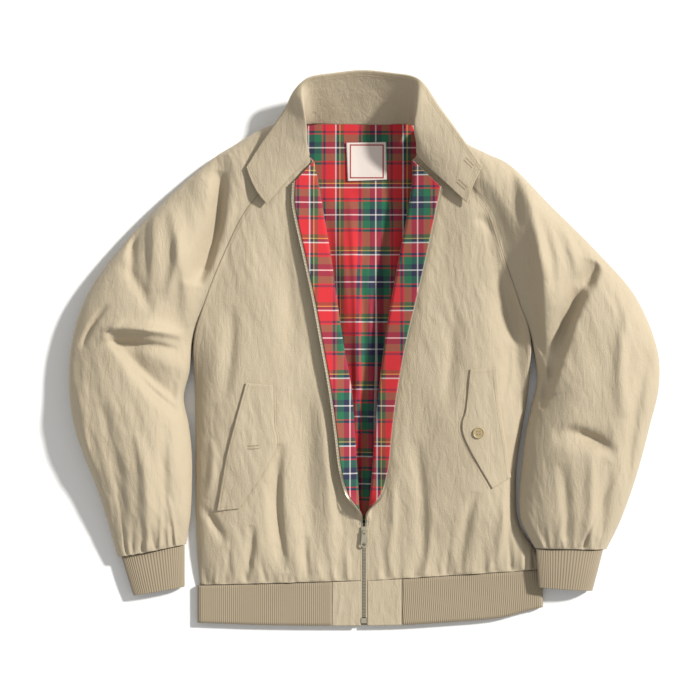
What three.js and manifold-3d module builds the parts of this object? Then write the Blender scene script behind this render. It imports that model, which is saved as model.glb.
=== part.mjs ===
// A zip-front blouson of light cotton-nylon cloth, laid flat on its back with its front half unzipped.
// Millimetres, +Z up. It lies on the plane Z = 0: +X is the wearer's left, +Y runs up to the collar.
// Every cloth piece is a wall worked out from short tables of the garment's own sizes.
import * as THREE from "three";
import { mergeVertices } from "three/addons/utils/BufferGeometryUtils.js";
import Module from "manifold-3d";

const wasm = await Module();
wasm.setup();

// Cloth
const shellThick = 1.2;
const liningThick = 1;
const ribThick = 2.2;
const collarThick = 2;
const labelThick = 1;
const seamGap = 0.3; // between two pieces sewn together
const rollRadius = 2.5; // of the turned-back front edges, on their shell side
const sideInset = 0.6; // of a front's outer edge from the sleeve's
const sideRise = 3.3; // where a front's side edge starts, just above the back

// Zip
const zipTape = { width: 1.5, thick: 1 };
const zipChain = { width: 1.9, thick: 2, proud: 0.5 };
const chainGap = 0.45; // between tape and chain
const zipEnd = -361; // where the chains stop
const zipBox = { width: 7.4, length: 7, thick: 3 };
const slider = { y: -245, halfWidth: 3.7, length: 14, plate: 1.6, clear: 0.4 };
const bridge = { inner: 1.4, outer: 2.6, leg: 1.2, width: 2 };
const pull = { barHalf: 0.8, eyeEnd: 3.4, eyeWidth: 3, neckWidth: 6.4, width: 8.6, length: 21, thick: 1.4, hole: 2.4, clear: 0.5 };

const flapThick = 1.6;
const button = { radius: 7.5, thick: 3, rim: 1.2, dish: 0.8, holeRadius: 0.9, holeOut: 1.9 };

// Fronts, from the neck down to the hem seam. outer is the raglan seam and then the side seam, fold is where the
// edge turns back, strip is the cloth past the fold, turn the angle it turns through, drop how far its end runs down.
// rim, crown and edge are the heights at the outer edge, the fullest place and the fold; round is the side's bulge.
const frontRight = [
  { outerX: -84, outerY: 271, foldX: -72, foldY: 257, strip: 28, turn: 172, drop: -31, rim: 31, crown: 31, edge: 29, round: 1.1 },
  { outerX: -106, outerY: 248, foldX: -67, foldY: 232, strip: 34, turn: 171, drop: -22, rim: 30, crown: 31, edge: 28, round: 1.1 },
  { outerX: -134, outerY: 217, foldX: -62, foldY: 203, strip: 39, turn: 170, drop: -8, rim: 30, crown: 32, edge: 27, round: 1.1 },
  { outerX: -163, outerY: 181, foldX: -57, foldY: 172, strip: 40, turn: 169, drop: 0, rim: 31, crown: 33, edge: 26, round: 1.1 },
  { outerX: -193, outerY: 118, foldX: -48, foldY: 118, strip: 37, turn: 168, drop: 0, rim: 32, crown: 34, edge: 25, round: 1.1 },
  { outerX: -213, outerY: 67, foldX: -41, foldY: 67, strip: 33, turn: 168, drop: 0, rim: 30, crown: 34, edge: 24, round: 1.2 },
  { outerX: -229, outerY: 14, foldX: -33, foldY: 12, strip: 31, turn: 167, drop: 0, rim: 23, crown: 34, edge: 24, round: 1.6 },
  { outerX: -229, outerY: -50, foldX: -22, foldY: -50, strip: 31, turn: 166, drop: 0, rim: sideRise, crown: 34, edge: 23, round: 2.2 },
  { outerX: -228, outerY: -110, foldX: -17, foldY: -110, strip: 28, turn: 165, drop: 0, rim: sideRise, crown: 33, edge: 21, round: 2.2 },
  { outerX: -228, outerY: -160, foldX: -14, foldY: -160, strip: 25, turn: 162, drop: 0, rim: sideRise, crown: 31, edge: 18, round: 2.2 },
  { outerX: -228, outerY: -198, foldX: -12, foldY: -196, strip: 17, turn: 158, drop: 0, rim: sideRise, crown: 28, edge: 15, round: 2.2 },
  { outerX: -228, outerY: -220, foldX: -11, foldY: -218, strip: 8, turn: 70, drop: 0, rim: sideRise, crown: 27, edge: 13.5, round: 2.2 },
  { outerX: -227, outerY: -235, foldX: -10.1, foldY: -232, strip: 4, turn: 0, drop: 0, rim: sideRise, crown: 26, edge: 12.7, round: 2.2 },
  { outerX: -227, outerY: -247, foldX: -5.8, foldY: -244, strip: 1.5, turn: 0, drop: 0, rim: sideRise, crown: 25, edge: 12.5, round: 2.2 },
  { outerX: -225, outerY: -285, foldX: -5.8, foldY: -280, strip: 1.5, turn: 0, drop: 0, rim: sideRise, crown: 21, edge: 12, round: 2.2 },
  { outerX: -222, outerY: -317, foldX: -5.8, foldY: -311, strip: 1.5, turn: 0, drop: 0, rim: sideRise, crown: 13, edge: 11.5, round: 2.2 },
];
const frontLeft = [
  { outerX: 76, outerY: 273, foldX: 69, foldY: 258, strip: 41, turn: 172, drop: -39, rim: 31, crown: 31, edge: 29, round: 1.1 },
  { outerX: 105, outerY: 248, foldX: 70, foldY: 232, strip: 38, turn: 171, drop: -25, rim: 30, crown: 31, edge: 28, round: 1.1 },
  { outerX: 140, outerY: 219, foldX: 66, foldY: 203, strip: 39, turn: 170, drop: -10, rim: 30, crown: 32, edge: 27, round: 1.1 },
  { outerX: 168, outerY: 186, foldX: 61, foldY: 172, strip: 40, turn: 169, drop: 0, rim: 31, crown: 33, edge: 26, round: 1.1 },
  { outerX: 187, outerY: 128, foldX: 51, foldY: 120, strip: 39, turn: 168, drop: 0, rim: 31, crown: 34, edge: 25, round: 1.1 },
  { outerX: 208, outerY: 67, foldX: 41, foldY: 64, strip: 36, turn: 168, drop: 0, rim: 29, crown: 34, edge: 24, round: 1.2 },
  { outerX: 225, outerY: 12, foldX: 32, foldY: 8, strip: 32, turn: 167, drop: 0, rim: 22, crown: 34, edge: 24, round: 1.6 },
  { outerX: 222, outerY: -60, foldX: 24, foldY: -60, strip: 28, turn: 166, drop: 0, rim: sideRise, crown: 33, edge: 23, round: 2.2 },
  { outerX: 213, outerY: -115, foldX: 19, foldY: -112, strip: 26.5, turn: 165, drop: 0, rim: sideRise, crown: 32, edge: 21, round: 2.2 },
  { outerX: 207, outerY: -160, foldX: 16, foldY: -160, strip: 25, turn: 162, drop: 0, rim: sideRise, crown: 30, edge: 18, round: 2.2 },
  { outerX: 206, outerY: -196, foldX: 13, foldY: -196, strip: 17, turn: 158, drop: 0, rim: sideRise, crown: 27, edge: 15, round: 2.2 },
  { outerX: 207, outerY: -218, foldX: 11, foldY: -218, strip: 8, turn: 70, drop: 0, rim: sideRise, crown: 26, edge: 13.5, round: 2.2 },
  { outerX: 211, outerY: -235, foldX: 10.1, foldY: -232, strip: 4, turn: 0, drop: 0, rim: sideRise, crown: 24, edge: 12.7, round: 2.2 },
  { outerX: 217, outerY: -247, foldX: 5.8, foldY: -244, strip: 1.5, turn: 0, drop: 0, rim: sideRise, crown: 22, edge: 12.5, round: 2.1 },
  { outerX: 236, outerY: -277, foldX: 5.8, foldY: -280, strip: 1.5, turn: 0, drop: 0, rim: sideRise, crown: 17, edge: 12, round: 2 },
  { outerX: 241, outerY: -296, foldX: 5.8, foldY: -311, strip: 1.5, turn: 0, drop: 0, rim: sideRise, crown: 12.5, edge: 11.5, round: 2.2 },
];

// Sleeves, from the neck to the cuff seam. in is the raglan seam and then the underarm, out the upper edge, back the
// underside's inner edge. top is the crown's height, mid the height of the outer edge, inner that of the inner edge,
// lift how far the inner edge's underside is off the surface. tube is 0 at the raglan and 1 where the sleeve closes.
const sleeveRight = [
  { inX: -84, inY: 271, outX: -99, outY: 309, backX: -82, backY: 302, top: 32, mid: 14, inner: 31, lift: 0, tube: 0 },
  { inX: -106, inY: 248, outX: -137, outY: 298, backX: -104, backY: 280, top: 33, mid: 14, inner: 30, lift: 0, tube: 0 },
  { inX: -134, inY: 217, outX: -176, outY: 275, backX: -130, backY: 247, top: 35, mid: 14, inner: 30, lift: 0, tube: 0 },
  { inX: -163, inY: 181, outX: -208, outY: 254, backX: -157, backY: 207, top: 38, mid: 15, inner: 31, lift: 0, tube: 0 },
  { inX: -193, inY: 118, outX: -268, outY: 201, backX: -190, backY: 133, top: 45, mid: 18, inner: 32, lift: 0, tube: 0 },
  { inX: -213, inY: 67, outX: -326, outY: 139, backX: -212, backY: 72, top: 50, mid: 20, inner: 30, lift: 0, tube: 0 },
  { inX: -230, inY: 14, outX: -371, outY: 76, backX: -230, backY: 14, top: 54, mid: 22, inner: 23, lift: 0, tube: 0.4 },
  { inX: -235, inY: -28, outX: -392, outY: 12, backX: -235, backY: -28, top: 56, mid: 23, inner: 20, lift: 0, tube: 1 },
  { inX: -243, inY: -64, outX: -396, outY: -44, backX: -243, backY: -64, top: 56, mid: 23, inner: 20, lift: 0, tube: 1 },
  { inX: -236, inY: -102, outX: -391, outY: -94, backX: -236, backY: -102, top: 55, mid: 23, inner: 20, lift: 0, tube: 1 },
  { inX: -232, inY: -142, outX: -378, outY: -138, backX: -232, backY: -142, top: 52, mid: 22, inner: 20, lift: 0, tube: 1 },
  { inX: -232, inY: -182, outX: -361, outY: -180, backX: -232, backY: -182, top: 47, mid: 20, inner: 19, lift: 0, tube: 1 },
  { inX: -234, inY: -222, outX: -347, outY: -224, backX: -234, backY: -222, top: 40, mid: 17, inner: 17, lift: 0, tube: 1 },
  { inX: -240, inY: -262, outX: -332, outY: -279, backX: -240, backY: -262, top: 25, mid: 11, inner: 11, lift: 0, tube: 1 },
];
const sleeveLeft = [
  { inX: 76, inY: 273, outX: 89, outY: 309, backX: 67, backY: 303, top: 32, mid: 14, inner: 31, lift: 0, tube: 0 },
  { inX: 105, inY: 248, outX: 136, outY: 279, backX: 96, backY: 281, top: 33, mid: 14, inner: 30, lift: 0, tube: 0 },
  { inX: 140, inY: 219, outX: 166, outY: 264, backX: 130, backY: 250, top: 36, mid: 15, inner: 30, lift: 0, tube: 0 },
  { inX: 168, inY: 186, outX: 200, outY: 246, backX: 160, backY: 211, top: 40, mid: 16, inner: 31, lift: 0, tube: 0 },
  { inX: 187, inY: 128, outX: 251, outY: 194, backX: 184, backY: 140, top: 47, mid: 18, inner: 31, lift: 0, tube: 0 },
  { inX: 208, inY: 67, outX: 311, outY: 134, backX: 207, backY: 72, top: 53, mid: 20, inner: 29, lift: 0, tube: 0 },
  { inX: 226, inY: 12, outX: 363, outY: 74, backX: 226, backY: 12, top: 57, mid: 22, inner: 24, lift: 0, tube: 0.4 },
  { inX: 233, inY: -38, outX: 392, outY: 7, backX: 233, backY: -38, top: 60, mid: 24, inner: 24, lift: 1, tube: 1 },
  { inX: 226, inY: -74, outX: 396, outY: -47, backX: 226, backY: -74, top: 61, mid: 24, inner: 25, lift: 3, tube: 1 },
  { inX: 217, inY: -116, outX: 383, outY: -104, backX: 217, backY: -116, top: 60, mid: 24, inner: 26, lift: 5, tube: 1 },
  { inX: 212, inY: -160, outX: 369, outY: -158, backX: 212, backY: -160, top: 57, mid: 23, inner: 26, lift: 7, tube: 1 },
  { inX: 209, inY: -196, outX: 356, outY: -199, backX: 209, backY: -196, top: 52, mid: 21, inner: 26, lift: 10, tube: 1 },
  { inX: 212, inY: -230, outX: 343, outY: -234, backX: 212, backY: -230, top: 46, mid: 18, inner: 26, lift: 14, tube: 1 },
  { inX: 230, inY: -266, outX: 327, outY: -268, backX: 230, backY: -266, top: 34, mid: 12, inner: 25, lift: 17, tube: 1 },
];

// Cuffs: the seam edge and the free edge, each from its inner to its outer end.
const cuffRight = [
  { inX: -242, inY: -263.5, outX: -327, outY: -279, top: 20, mid: 9, lift: 0 },
  { inX: -242, inY: -291, outX: -319, outY: -305, top: 20, mid: 9, lift: 0 },
  { inX: -242, inY: -319, outX: -311, outY: -331, top: 18, mid: 8, lift: 0 },
];
const cuffLeft = [
  { inX: 231, inY: -266.9, outX: 322, outY: -268.9, top: 30, mid: 10, lift: 17 },
  { inX: 233, inY: -294, outX: 315, outY: -297, top: 30, mid: 9, lift: 16 },
  { inX: 235, inY: -319, outX: 308, outY: -324, top: 28, mid: 8, lift: 15 },
];

// Hem: where the seam and the free edge run across the garment.
const hemLine = [
  { x: -226, seam: -317.6, edge: -368 },
  { x: -134, seam: -315.1, edge: -371 },
  { x: -28, seam: -312.2, edge: -372 },
  { x: 51, seam: -308.7, edge: -371 },
  { x: 118, seam: -304.4, edge: -367 },
  { x: 185, seam: -300.1, edge: -361 },
  { x: 242, seam: -296.6, edge: -347 },
];
const hem = { left: -225, right: 242, blockRight: -43, blockLeft: 51, top: 11, mid: 5.5 };

// Collar, from the wearer's right end round the neck to the left end: the neck seam or the tab's lower edge, the
// line the cloth rolls over, and the free edge.
const collarLine = [
  { seamX: -130, seamY: 195, seamZ: 40.5, rollX: -146, rollY: 216, rollZ: 42.5, edgeX: -157, edgeY: 244, edgeZ: 43 },
  { seamX: -101, seamY: 228.5, seamZ: 40, rollX: -119, rollY: 247, rollZ: 46, edgeX: -140, edgeY: 272, edgeZ: 41 },
  { seamX: -73, seamY: 259.5, seamZ: 37, rollX: -88, rollY: 272, rollZ: 51, edgeX: -121, edgeY: 300, edgeZ: 41 },
  { seamX: -85, seamY: 279, seamZ: 33, rollX: -77, rollY: 291, rollZ: 56, edgeX: -106, edgeY: 322, edgeZ: 43 },
  { seamX: -86, seamY: 299, seamZ: 19, rollX: -79, rollY: 323, rollZ: 57, edgeX: -93, edgeY: 346, edgeZ: 50 },
  { seamX: -70, seamY: 305, seamZ: 5, rollX: -71, rollY: 336, rollZ: 34, edgeX: -74, edgeY: 361, edgeZ: 56 },
  { seamX: -37, seamY: 304.5, seamZ: 3.2, rollX: -37, rollY: 339, rollZ: 26, edgeX: -38, edgeY: 368, edgeZ: 50 },
  { seamX: -6, seamY: 304.5, seamZ: 3.2, rollX: -3, rollY: 340, rollZ: 24, edgeX: -1, edgeY: 372, edgeZ: 47 },
  { seamX: 26, seamY: 304.5, seamZ: 3.2, rollX: 32, rollY: 339, rollZ: 26, edgeX: 37, edgeY: 368, edgeZ: 50 },
  { seamX: 55, seamY: 305, seamZ: 5, rollX: 60, rollY: 337, rollZ: 36, edgeX: 65, edgeY: 363, edgeZ: 56 },
  { seamX: 70, seamY: 299, seamZ: 19, rollX: 68, rollY: 325, rollZ: 57, edgeX: 80, edgeY: 353, edgeZ: 58 },
  { seamX: 78, seamY: 280, seamZ: 33, rollX: 68, rollY: 295, rollZ: 56, edgeX: 100, edgeY: 324, edgeZ: 55 },
  { seamX: 71, seamY: 261, seamZ: 37, rollX: 86, rollY: 274, rollZ: 51, edgeX: 121, edgeY: 296, edgeZ: 51 },
  { seamX: 112, seamY: 220.5, seamZ: 40, rollX: 124, rollY: 243, rollZ: 45, edgeX: 143, edgeY: 266, edgeZ: 46 },
  { seamX: 138, seamY: 196, seamZ: 40, rollX: 146, rollY: 220, rollZ: 42.5, edgeX: 158, edgeY: 245, edgeZ: 43 },
];

// The inside of the back that shows in the opening, from the neck down: its edges and its height over the surface.
const liningLine = [
  { rightX: -78, leftX: 65, y: 303.6, height: 3 },
  { rightX: -92, leftX: 88, y: 240, height: 5 },
  { rightX: -84, leftX: 84, y: 160, height: 6 },
  { rightX: -70, leftX: 68, y: 70, height: 7 },
  { rightX: -58, leftX: 55, y: -20, height: 7 },
  { rightX: -46, leftX: 45, y: -120, height: 6 },
  { rightX: -36, leftX: 36, y: -200, height: 5 },
  { rightX: -28, leftX: 28, y: -262, height: 3 },
];

// The largest folds. A row runs from one end to the other along a bow; height is up or, below zero, down, and left
// and right are its widths on either side, looking along it.
const sleeveRightFolds = [
  { fromX: -340, fromY: 22, toX: -244, toY: -86, bow: -6, height: -19, left: 30, right: 7 },
  { fromX: -338, fromY: 28, toX: -244, toY: 20, bow: 3, height: 6, left: 12, right: 8 },
  { fromX: -190, fromY: 262, toX: -224, toY: 86, bow: 8, height: -12, left: 10, right: 16 },
];
const sleeveLeftFolds = [
  { fromX: 310, fromY: 116, toX: 240, toY: -66, bow: -10, height: -17, left: 7, right: 24 },
  { fromX: 214, fromY: 236, toX: 240, toY: 10, bow: 8, height: 17, left: 26, right: 11 },
  { fromX: 250, fromY: -112, toX: 330, toY: -118, bow: -5, height: -7, left: 14, right: 12 },
];
const frontRightFolds = [{ fromX: -72, fromY: -60, toX: -66, toY: -295, bow: -6, height: -6, left: 12, right: 16 }];
const frontLeftFolds = [{ fromX: 186, fromY: 170, toX: 208, toY: 10, bow: 4, height: -8, left: 12, right: 24 }];
const liningFolds = [
  { fromX: 18, fromY: 90, toX: 6, toY: -235, bow: 4, height: 5, left: 10, right: 12 },
  { fromX: -30, fromY: 200, toX: -4, toY: -60, bow: -4, height: 4, left: 12, right: 9 },
];

// Pocket flaps and the neck label, as outlines on the cloth that they lie on.
const flapRight = [[-157, -44], [-122, -47], [-120, -136], [-168, -213], [-197, -216]];
const flapLeft = [[177, -24], [142, -26], [133, -114], [172, -186], [197, -171]];
const pocketButtonAt = [153, -111];
const labelOutline = [[-24, 280], [30, 281], [31, 230], [-22, 228]];

// Grid sizes
const rowsPerEntry = 2; // of every table
const frontColumns = 6;
const rollColumns = 3;
const stripColumns = 1;
const facingColumns = 2; // of a front's own, that its lining strip reaches past the fold
const sleeveTopColumns = 7;
const sleeveUnderColumns = 4;
const liningColumns = 6;
const hemColumns = 6;
const ringPoints = 16;

const mix = (a, b, t) => a + (b - a) * t;
const clamp01 = (v) => Math.min(1, Math.max(0, v));
const smooth = (v) => clamp01(v) ** 2 * (3 - 2 * clamp01(v));

// A table's values at a place between its rows, along a smooth curve through them.
function rowAt(table, place) {
  const at = Math.min(Math.max(place, 0), table.length - 1);
  const i = Math.min(Math.floor(at), table.length - 2);
  const [a, b, c, d] = [Math.max(i - 1, 0), i, i + 1, Math.min(i + 2, table.length - 1)].map((k) => table[k]);
  const t = at - i;
  const row = {};
  for (const name of Object.keys(b)) {
    const [leave, arrive] = [(c[name] - a[name]) / 2, (d[name] - b[name]) / 2];
    row[name] =
      (2 * t ** 3 - 3 * t ** 2 + 1) * b[name] +
      (t ** 3 - 2 * t ** 2 + t) * leave +
      (3 * t ** 2 - 2 * t ** 3) * c[name] +
      (t ** 3 - t ** 2) * arrive;
  }
  return row;
}

// How far a row of folds lifts the cloth at a place in plan.
function foldLift(folds, x, y) {
  let lift = 0;
  for (const f of folds) {
    const [dx, dy] = [f.toX - f.fromX, f.toY - f.fromY];
    const long = Math.hypot(dx, dy);
    const along = ((x - f.fromX) * dx + (y - f.fromY) * dy) / long ** 2;
    if (along <= 0 || along >= 1) continue;
    const bow = 4 * f.bow * along * (1 - along);
    const side = ((y - f.fromY) * dx - (x - f.fromX) * dy) / long - bow; // above zero on its left
    const width = side > 0 ? f.left : f.right;
    lift += f.height * Math.sin(Math.PI * along) ** 0.7 * Math.exp(-((side / width) ** 2));
  }
  return lift;
}

// Normals of a grid of points; where a row's ends meet, it is taken as closed.
function gridNormals(grid, closed) {
  const [rows, columns] = [grid.length, grid[0].length];
  const meets = grid.map((row) => closed || row[0].distanceTo(row[columns - 1]) < 1);
  const point = (i, j) => {
    if (meets[i] && j < 0) return grid[i][columns - (closed ? 1 : 2)];
    if (meets[i] && j >= columns) return grid[i][closed ? 0 : 1];
    return grid[i][Math.min(Math.max(j, 0), columns - 1)];
  };
  return grid.map((row, i) =>
    row.map((_, j) => {
      const down = new THREE.Vector3().subVectors(grid[Math.min(i + 1, rows - 1)][j], grid[Math.max(i - 1, 0)][j]);
      const across = new THREE.Vector3().subVectors(point(i, j + 1), point(i, j - 1));
      return across.cross(down).normalize();
    }),
  );
}

const movedOut = (grid, by, closed) => {
  const normals = gridNormals(grid, closed);
  return grid.map((row, i) => row.map((p, j) => p.clone().addScaledVector(normals[i][j], by)));
};

// A closed wall between two like grids, which form its two faces.
function between(near, far, closed) {
  const [rows, columns] = [near.length, near[0].length];
  const positions = [...near, ...far].flat().flatMap((p) => [p.x, p.y, p.z]);
  const index = [];
  const at = (face, i, j) => (face * rows + i) * columns + (j % columns);
  const quad = (a, b, c, d) => index.push(a, b, c, a, c, d);
  const lastColumn = closed ? columns : columns - 1;
  for (let i = 0; i < rows - 1; i++)
    for (let j = 0; j < lastColumn; j++) {
      quad(at(0, i, j), at(0, i, j + 1), at(0, i + 1, j + 1), at(0, i + 1, j));
      quad(at(1, i, j), at(1, i + 1, j), at(1, i + 1, j + 1), at(1, i, j + 1));
    }
  for (let j = 0; j < lastColumn; j++) {
    quad(at(0, 0, j), at(1, 0, j), at(1, 0, j + 1), at(0, 0, j + 1));
    quad(at(0, rows - 1, j), at(0, rows - 1, j + 1), at(1, rows - 1, j + 1), at(1, rows - 1, j));
  }
  if (!closed)
    for (let i = 0; i < rows - 1; i++) {
      quad(at(0, i, 0), at(0, i + 1, 0), at(1, i + 1, 0), at(1, i, 0));
      quad(at(0, i, columns - 1), at(1, i, columns - 1), at(1, i + 1, columns - 1), at(0, i + 1, columns - 1));
    }
  const geometry = new THREE.BufferGeometry();
  geometry.setAttribute("position", new THREE.Float32BufferAttribute(positions, 3));
  geometry.setIndex(index);
  return facingOut(geometry);
}

function signedVolume(geometry) {
  const p = geometry.getAttribute("position");
  const [a, b, c] = [new THREE.Vector3(), new THREE.Vector3(), new THREE.Vector3()];
  let sum = 0;
  for (let i = 0; i < geometry.index.count; i += 3) {
    [a, b, c].forEach((v, k) => v.fromBufferAttribute(p, geometry.index.getX(i + k)));
    sum += a.dot(b.cross(c));
  }
  return sum / 6;
}

// The same geometry with its faces pointing out.
function facingOut(geometry) {
  if (signedVolume(geometry) < 0) {
    const index = geometry.index.array;
    for (let i = 0; i < index.length; i += 3) [index[i + 1], index[i + 2]] = [index[i + 2], index[i + 1]];
  }
  return geometry;
}

const wall = (grid, thick, closed = false) => between(grid, movedOut(grid, thick, closed), closed);

// Booleans
function solidOf(geometry) {
  const bare = new THREE.BufferGeometry().setAttribute("position", geometry.getAttribute("position").clone());
  bare.setIndex(geometry.index ? geometry.index.clone() : null);
  const merged = mergeVertices(bare, 1e-4);
  const mesh = new wasm.Mesh({
    numProp: 3,
    vertProperties: Float32Array.from(merged.getAttribute("position").array),
    triVerts: Uint32Array.from(merged.index.array),
  });
  return new wasm.Manifold(mesh);
}

function geometryOf(solid) {
  const mesh = solid.getMesh();
  const geometry = new THREE.BufferGeometry();
  const points = new Float32Array(mesh.numVert * 3);
  for (let i = 0; i < mesh.numVert; i++)
    points.set(mesh.vertProperties.subarray(i * mesh.numProp, i * mesh.numProp + 3), i * 3);
  geometry.setAttribute("position", new THREE.BufferAttribute(points, 3));
  geometry.setIndex(new THREE.BufferAttribute(Uint32Array.from(mesh.triVerts), 1));
  return geometry;
}

const outlineShape = (corners) => new THREE.Shape(corners.map(([x, y]) => new THREE.Vector2(x, y)));

// A piece lying on a panel: a slab made from the panel's points, moved out, and cut to the piece's outline.
function patchOn(grid, corners, gap, thick) {
  const slab = solidOf(between(movedOut(grid, -gap), movedOut(grid, -gap - thick)));
  const knife = new THREE.ExtrudeGeometry(outlineShape(corners), { depth: 200, bevelEnabled: false });
  return geometryOf(slab.intersect(solidOf(knife)));
}

// The height of a grid's faces above a place in plan, or 0 where there is none.
function heightOn(grid, x, y) {
  const ray = new THREE.Ray(new THREE.Vector3(x, y, 500), new THREE.Vector3(0, 0, -1));
  let best = 0;
  const hit = new THREE.Vector3();
  for (let i = 0; i < grid.length - 1; i++)
    for (let j = 0; j < grid[0].length - 1; j++) {
      const [a, b, c, d] = [grid[i][j], grid[i][j + 1], grid[i + 1][j + 1], grid[i + 1][j]];
      for (const [p, q, r] of [[a, b, c], [a, c, d]])
        if (ray.intersectTriangle(p, q, r, false, hit)) best = Math.max(best, hit.z);
    }
  return best;
}

const jacket = new THREE.Group();
const shellCloth = { color: 0xc4b08e, roughness: 0.82, metalness: 0 };
const ribCloth = { color: 0xb5a283, roughness: 0.9, metalness: 0 };
const liningCloth = { color: 0xb8202a, roughness: 0.85, metalness: 0 };
const labelCloth = { color: 0xe9e0cf, roughness: 0.8, metalness: 0 };
const tapeCloth = { color: 0xcdbb98, roughness: 0.85, metalness: 0 };
const metal = { color: 0xd9cfae, roughness: 0.35, metalness: 0.9 };
const horn = { color: 0x8a7446, roughness: 0.35, metalness: 0 };

function add(name, geometry, look, parent = jacket) {
  const mesh = new THREE.Mesh(geometry, new THREE.MeshStandardMaterial(look));
  mesh.name = name;
  parent.add(mesh);
  return mesh;
}

// One front. Its strip past the fold runs round the roll and then straight, so the zip can carry on along it.
const towardsMiddle = (row) => Math.sign(row.foldX - row.outerX);

function stripPoint(row, along) {
  const turn = THREE.MathUtils.degToRad(Math.max(row.turn, 0));
  const bend = Math.min(along / rollRadius, turn);
  const straight = along - rollRadius * bend;
  const past = rollRadius * Math.sin(bend) + straight * Math.cos(bend);
  const up = rollRadius * (1 - Math.cos(bend)) + straight * Math.sin(bend);
  const drop = row.drop * Math.min(1, along / row.strip);
  return new THREE.Vector3(row.foldX + towardsMiddle(row) * past, row.foldY + drop, row.edge + up);
}

function frontPoint(row, across, folds) {
  const fullest = 0.3; // of the way across from the side
  const rise = Math.min(1, across / fullest);
  const fall = clamp01((across - fullest) / (1 - fullest));
  const bulge = (1 - (1 - rise) ** row.round) ** (1 / row.round);
  const height = mix(row.rim, row.crown, bulge) + (row.edge - row.crown) * smooth(fall);
  const x = mix(row.outerX + towardsMiddle(row) * sideInset, row.foldX, across);
  const y = mix(row.outerY, row.foldY, across);
  const hold = smooth(across / 0.12) * smooth((1 - across) / 0.12);
  return new THREE.Vector3(x, y, height + hold * foldLift(folds, x, y));
}

// A table's rows and the ones halfway between them.
function rowsOf(table) {
  const count = (table.length - 1) * rowsPerEntry;
  return Array.from({ length: count + 1 }, (_, i) => rowAt(table, i / rowsPerEntry));
}

const steps = (count) => Array.from({ length: count + 1 }, (_, j) => j / count);

function frontGrid(table, folds) {
  return rowsOf(table).map((row) => {
    const rolled = rollRadius * THREE.MathUtils.degToRad(Math.max(row.turn, 0));
    const bend = THREE.MathUtils.clamp(rolled, row.strip * 0.4, row.strip * 0.8);
    return [
      ...steps(frontColumns).map((t) => frontPoint(row, t ** 1.35, folds)),
      ...steps(rollColumns).slice(1).map((t) => stripPoint(row, bend * t)),
      ...steps(stripColumns).slice(1).map((t) => stripPoint(row, mix(bend, row.strip, t))),
    ];
  });
}

// A band along a front's edge, from one distance past it to another, at a depth on its lining side. It carries on
// below the front to the garment's lower edge.
function edgeBand(table, lowerEdge, from, to, depth, thick) {
  const last = table.at(-1);
  const below = { ...last, outerY: lowerEdge, foldY: lowerEdge, edge: hem.top };
  const grid = [...rowsOf(table), below].map((row) => [
    stripPoint(row, row.strip + from),
    stripPoint(row, row.strip + to),
  ]);
  const inwards = towardsMiddle(last);
  return between(movedOut(grid, inwards * depth), movedOut(grid, inwards * (depth + thick)));
}

const frontRightGrid = frontGrid(frontRight, frontRightFolds);
const frontLeftGrid = frontGrid(frontLeft, frontLeftFolds).map((row) => row.reverse());
add("front_right", wall(frontRightGrid, shellThick), shellCloth);
add("front_left", wall(frontLeftGrid, shellThick), shellCloth);

// The lining that turns back with a front's edge.
const facing = frontColumns - facingColumns;
const underShell = shellThick + seamGap;
const facingRight = movedOut(frontRightGrid, underShell).map((row) => row.slice(facing));
const facingLeft = movedOut(frontLeftGrid, underShell).map((row) => row.slice(0, row.length - facing));
add("front_lining_right", wall(facingRight, liningThick), liningCloth);
add("front_lining_left", wall(facingLeft, liningThick), liningCloth);

// Zip tapes and chains, side by side along each edge
const tapeFrom = seamGap;
const tapeTo = tapeFrom + zipTape.width;
const chainFrom = tapeTo + chainGap;
const chainTo = chainFrom + zipChain.width;
for (const [side, table] of [["right", frontRight], ["left", frontLeft]]) {
  add(`zip_tape_${side}`, edgeBand(table, zipEnd, tapeFrom, tapeTo, 0.1, zipTape.thick), tapeCloth);
  add(`zip_teeth_${side}`, edgeBand(table, zipEnd, chainFrom, chainTo, -zipChain.proud, zipChain.thick), metal);
}

// The back lies flat on the surface, between the sleeves' undersides and then the side seams.
const backInset = 0.9; // of its edges from the sleeves' and the fronts'
const raglanRows = 7; // of the tables, from the neck to the armpit
const backEdges = (sleeve, front) => [
  ...sleeve.slice(0, raglanRows).map((row) => ({ x: row.backX, y: row.backY })),
  ...front.slice(raglanRows).map((row) => ({ x: row.outerX, y: row.outerY })),
];
const backRight = rowsOf(backEdges(sleeveRight, frontRight));
const backLeft = rowsOf(backEdges(sleeveLeft, frontLeft));
const backGrid = backRight.map((right, i) =>
  steps(2).map((t) => {
    const [from, to] = [right.x + backInset, backLeft[i].x - backInset];
    return new THREE.Vector3(mix(from, to, t), mix(right.y, backLeft[i].y, t), shellThick);
  }),
);
add("back", wall(backGrid, shellThick), shellCloth);

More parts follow.
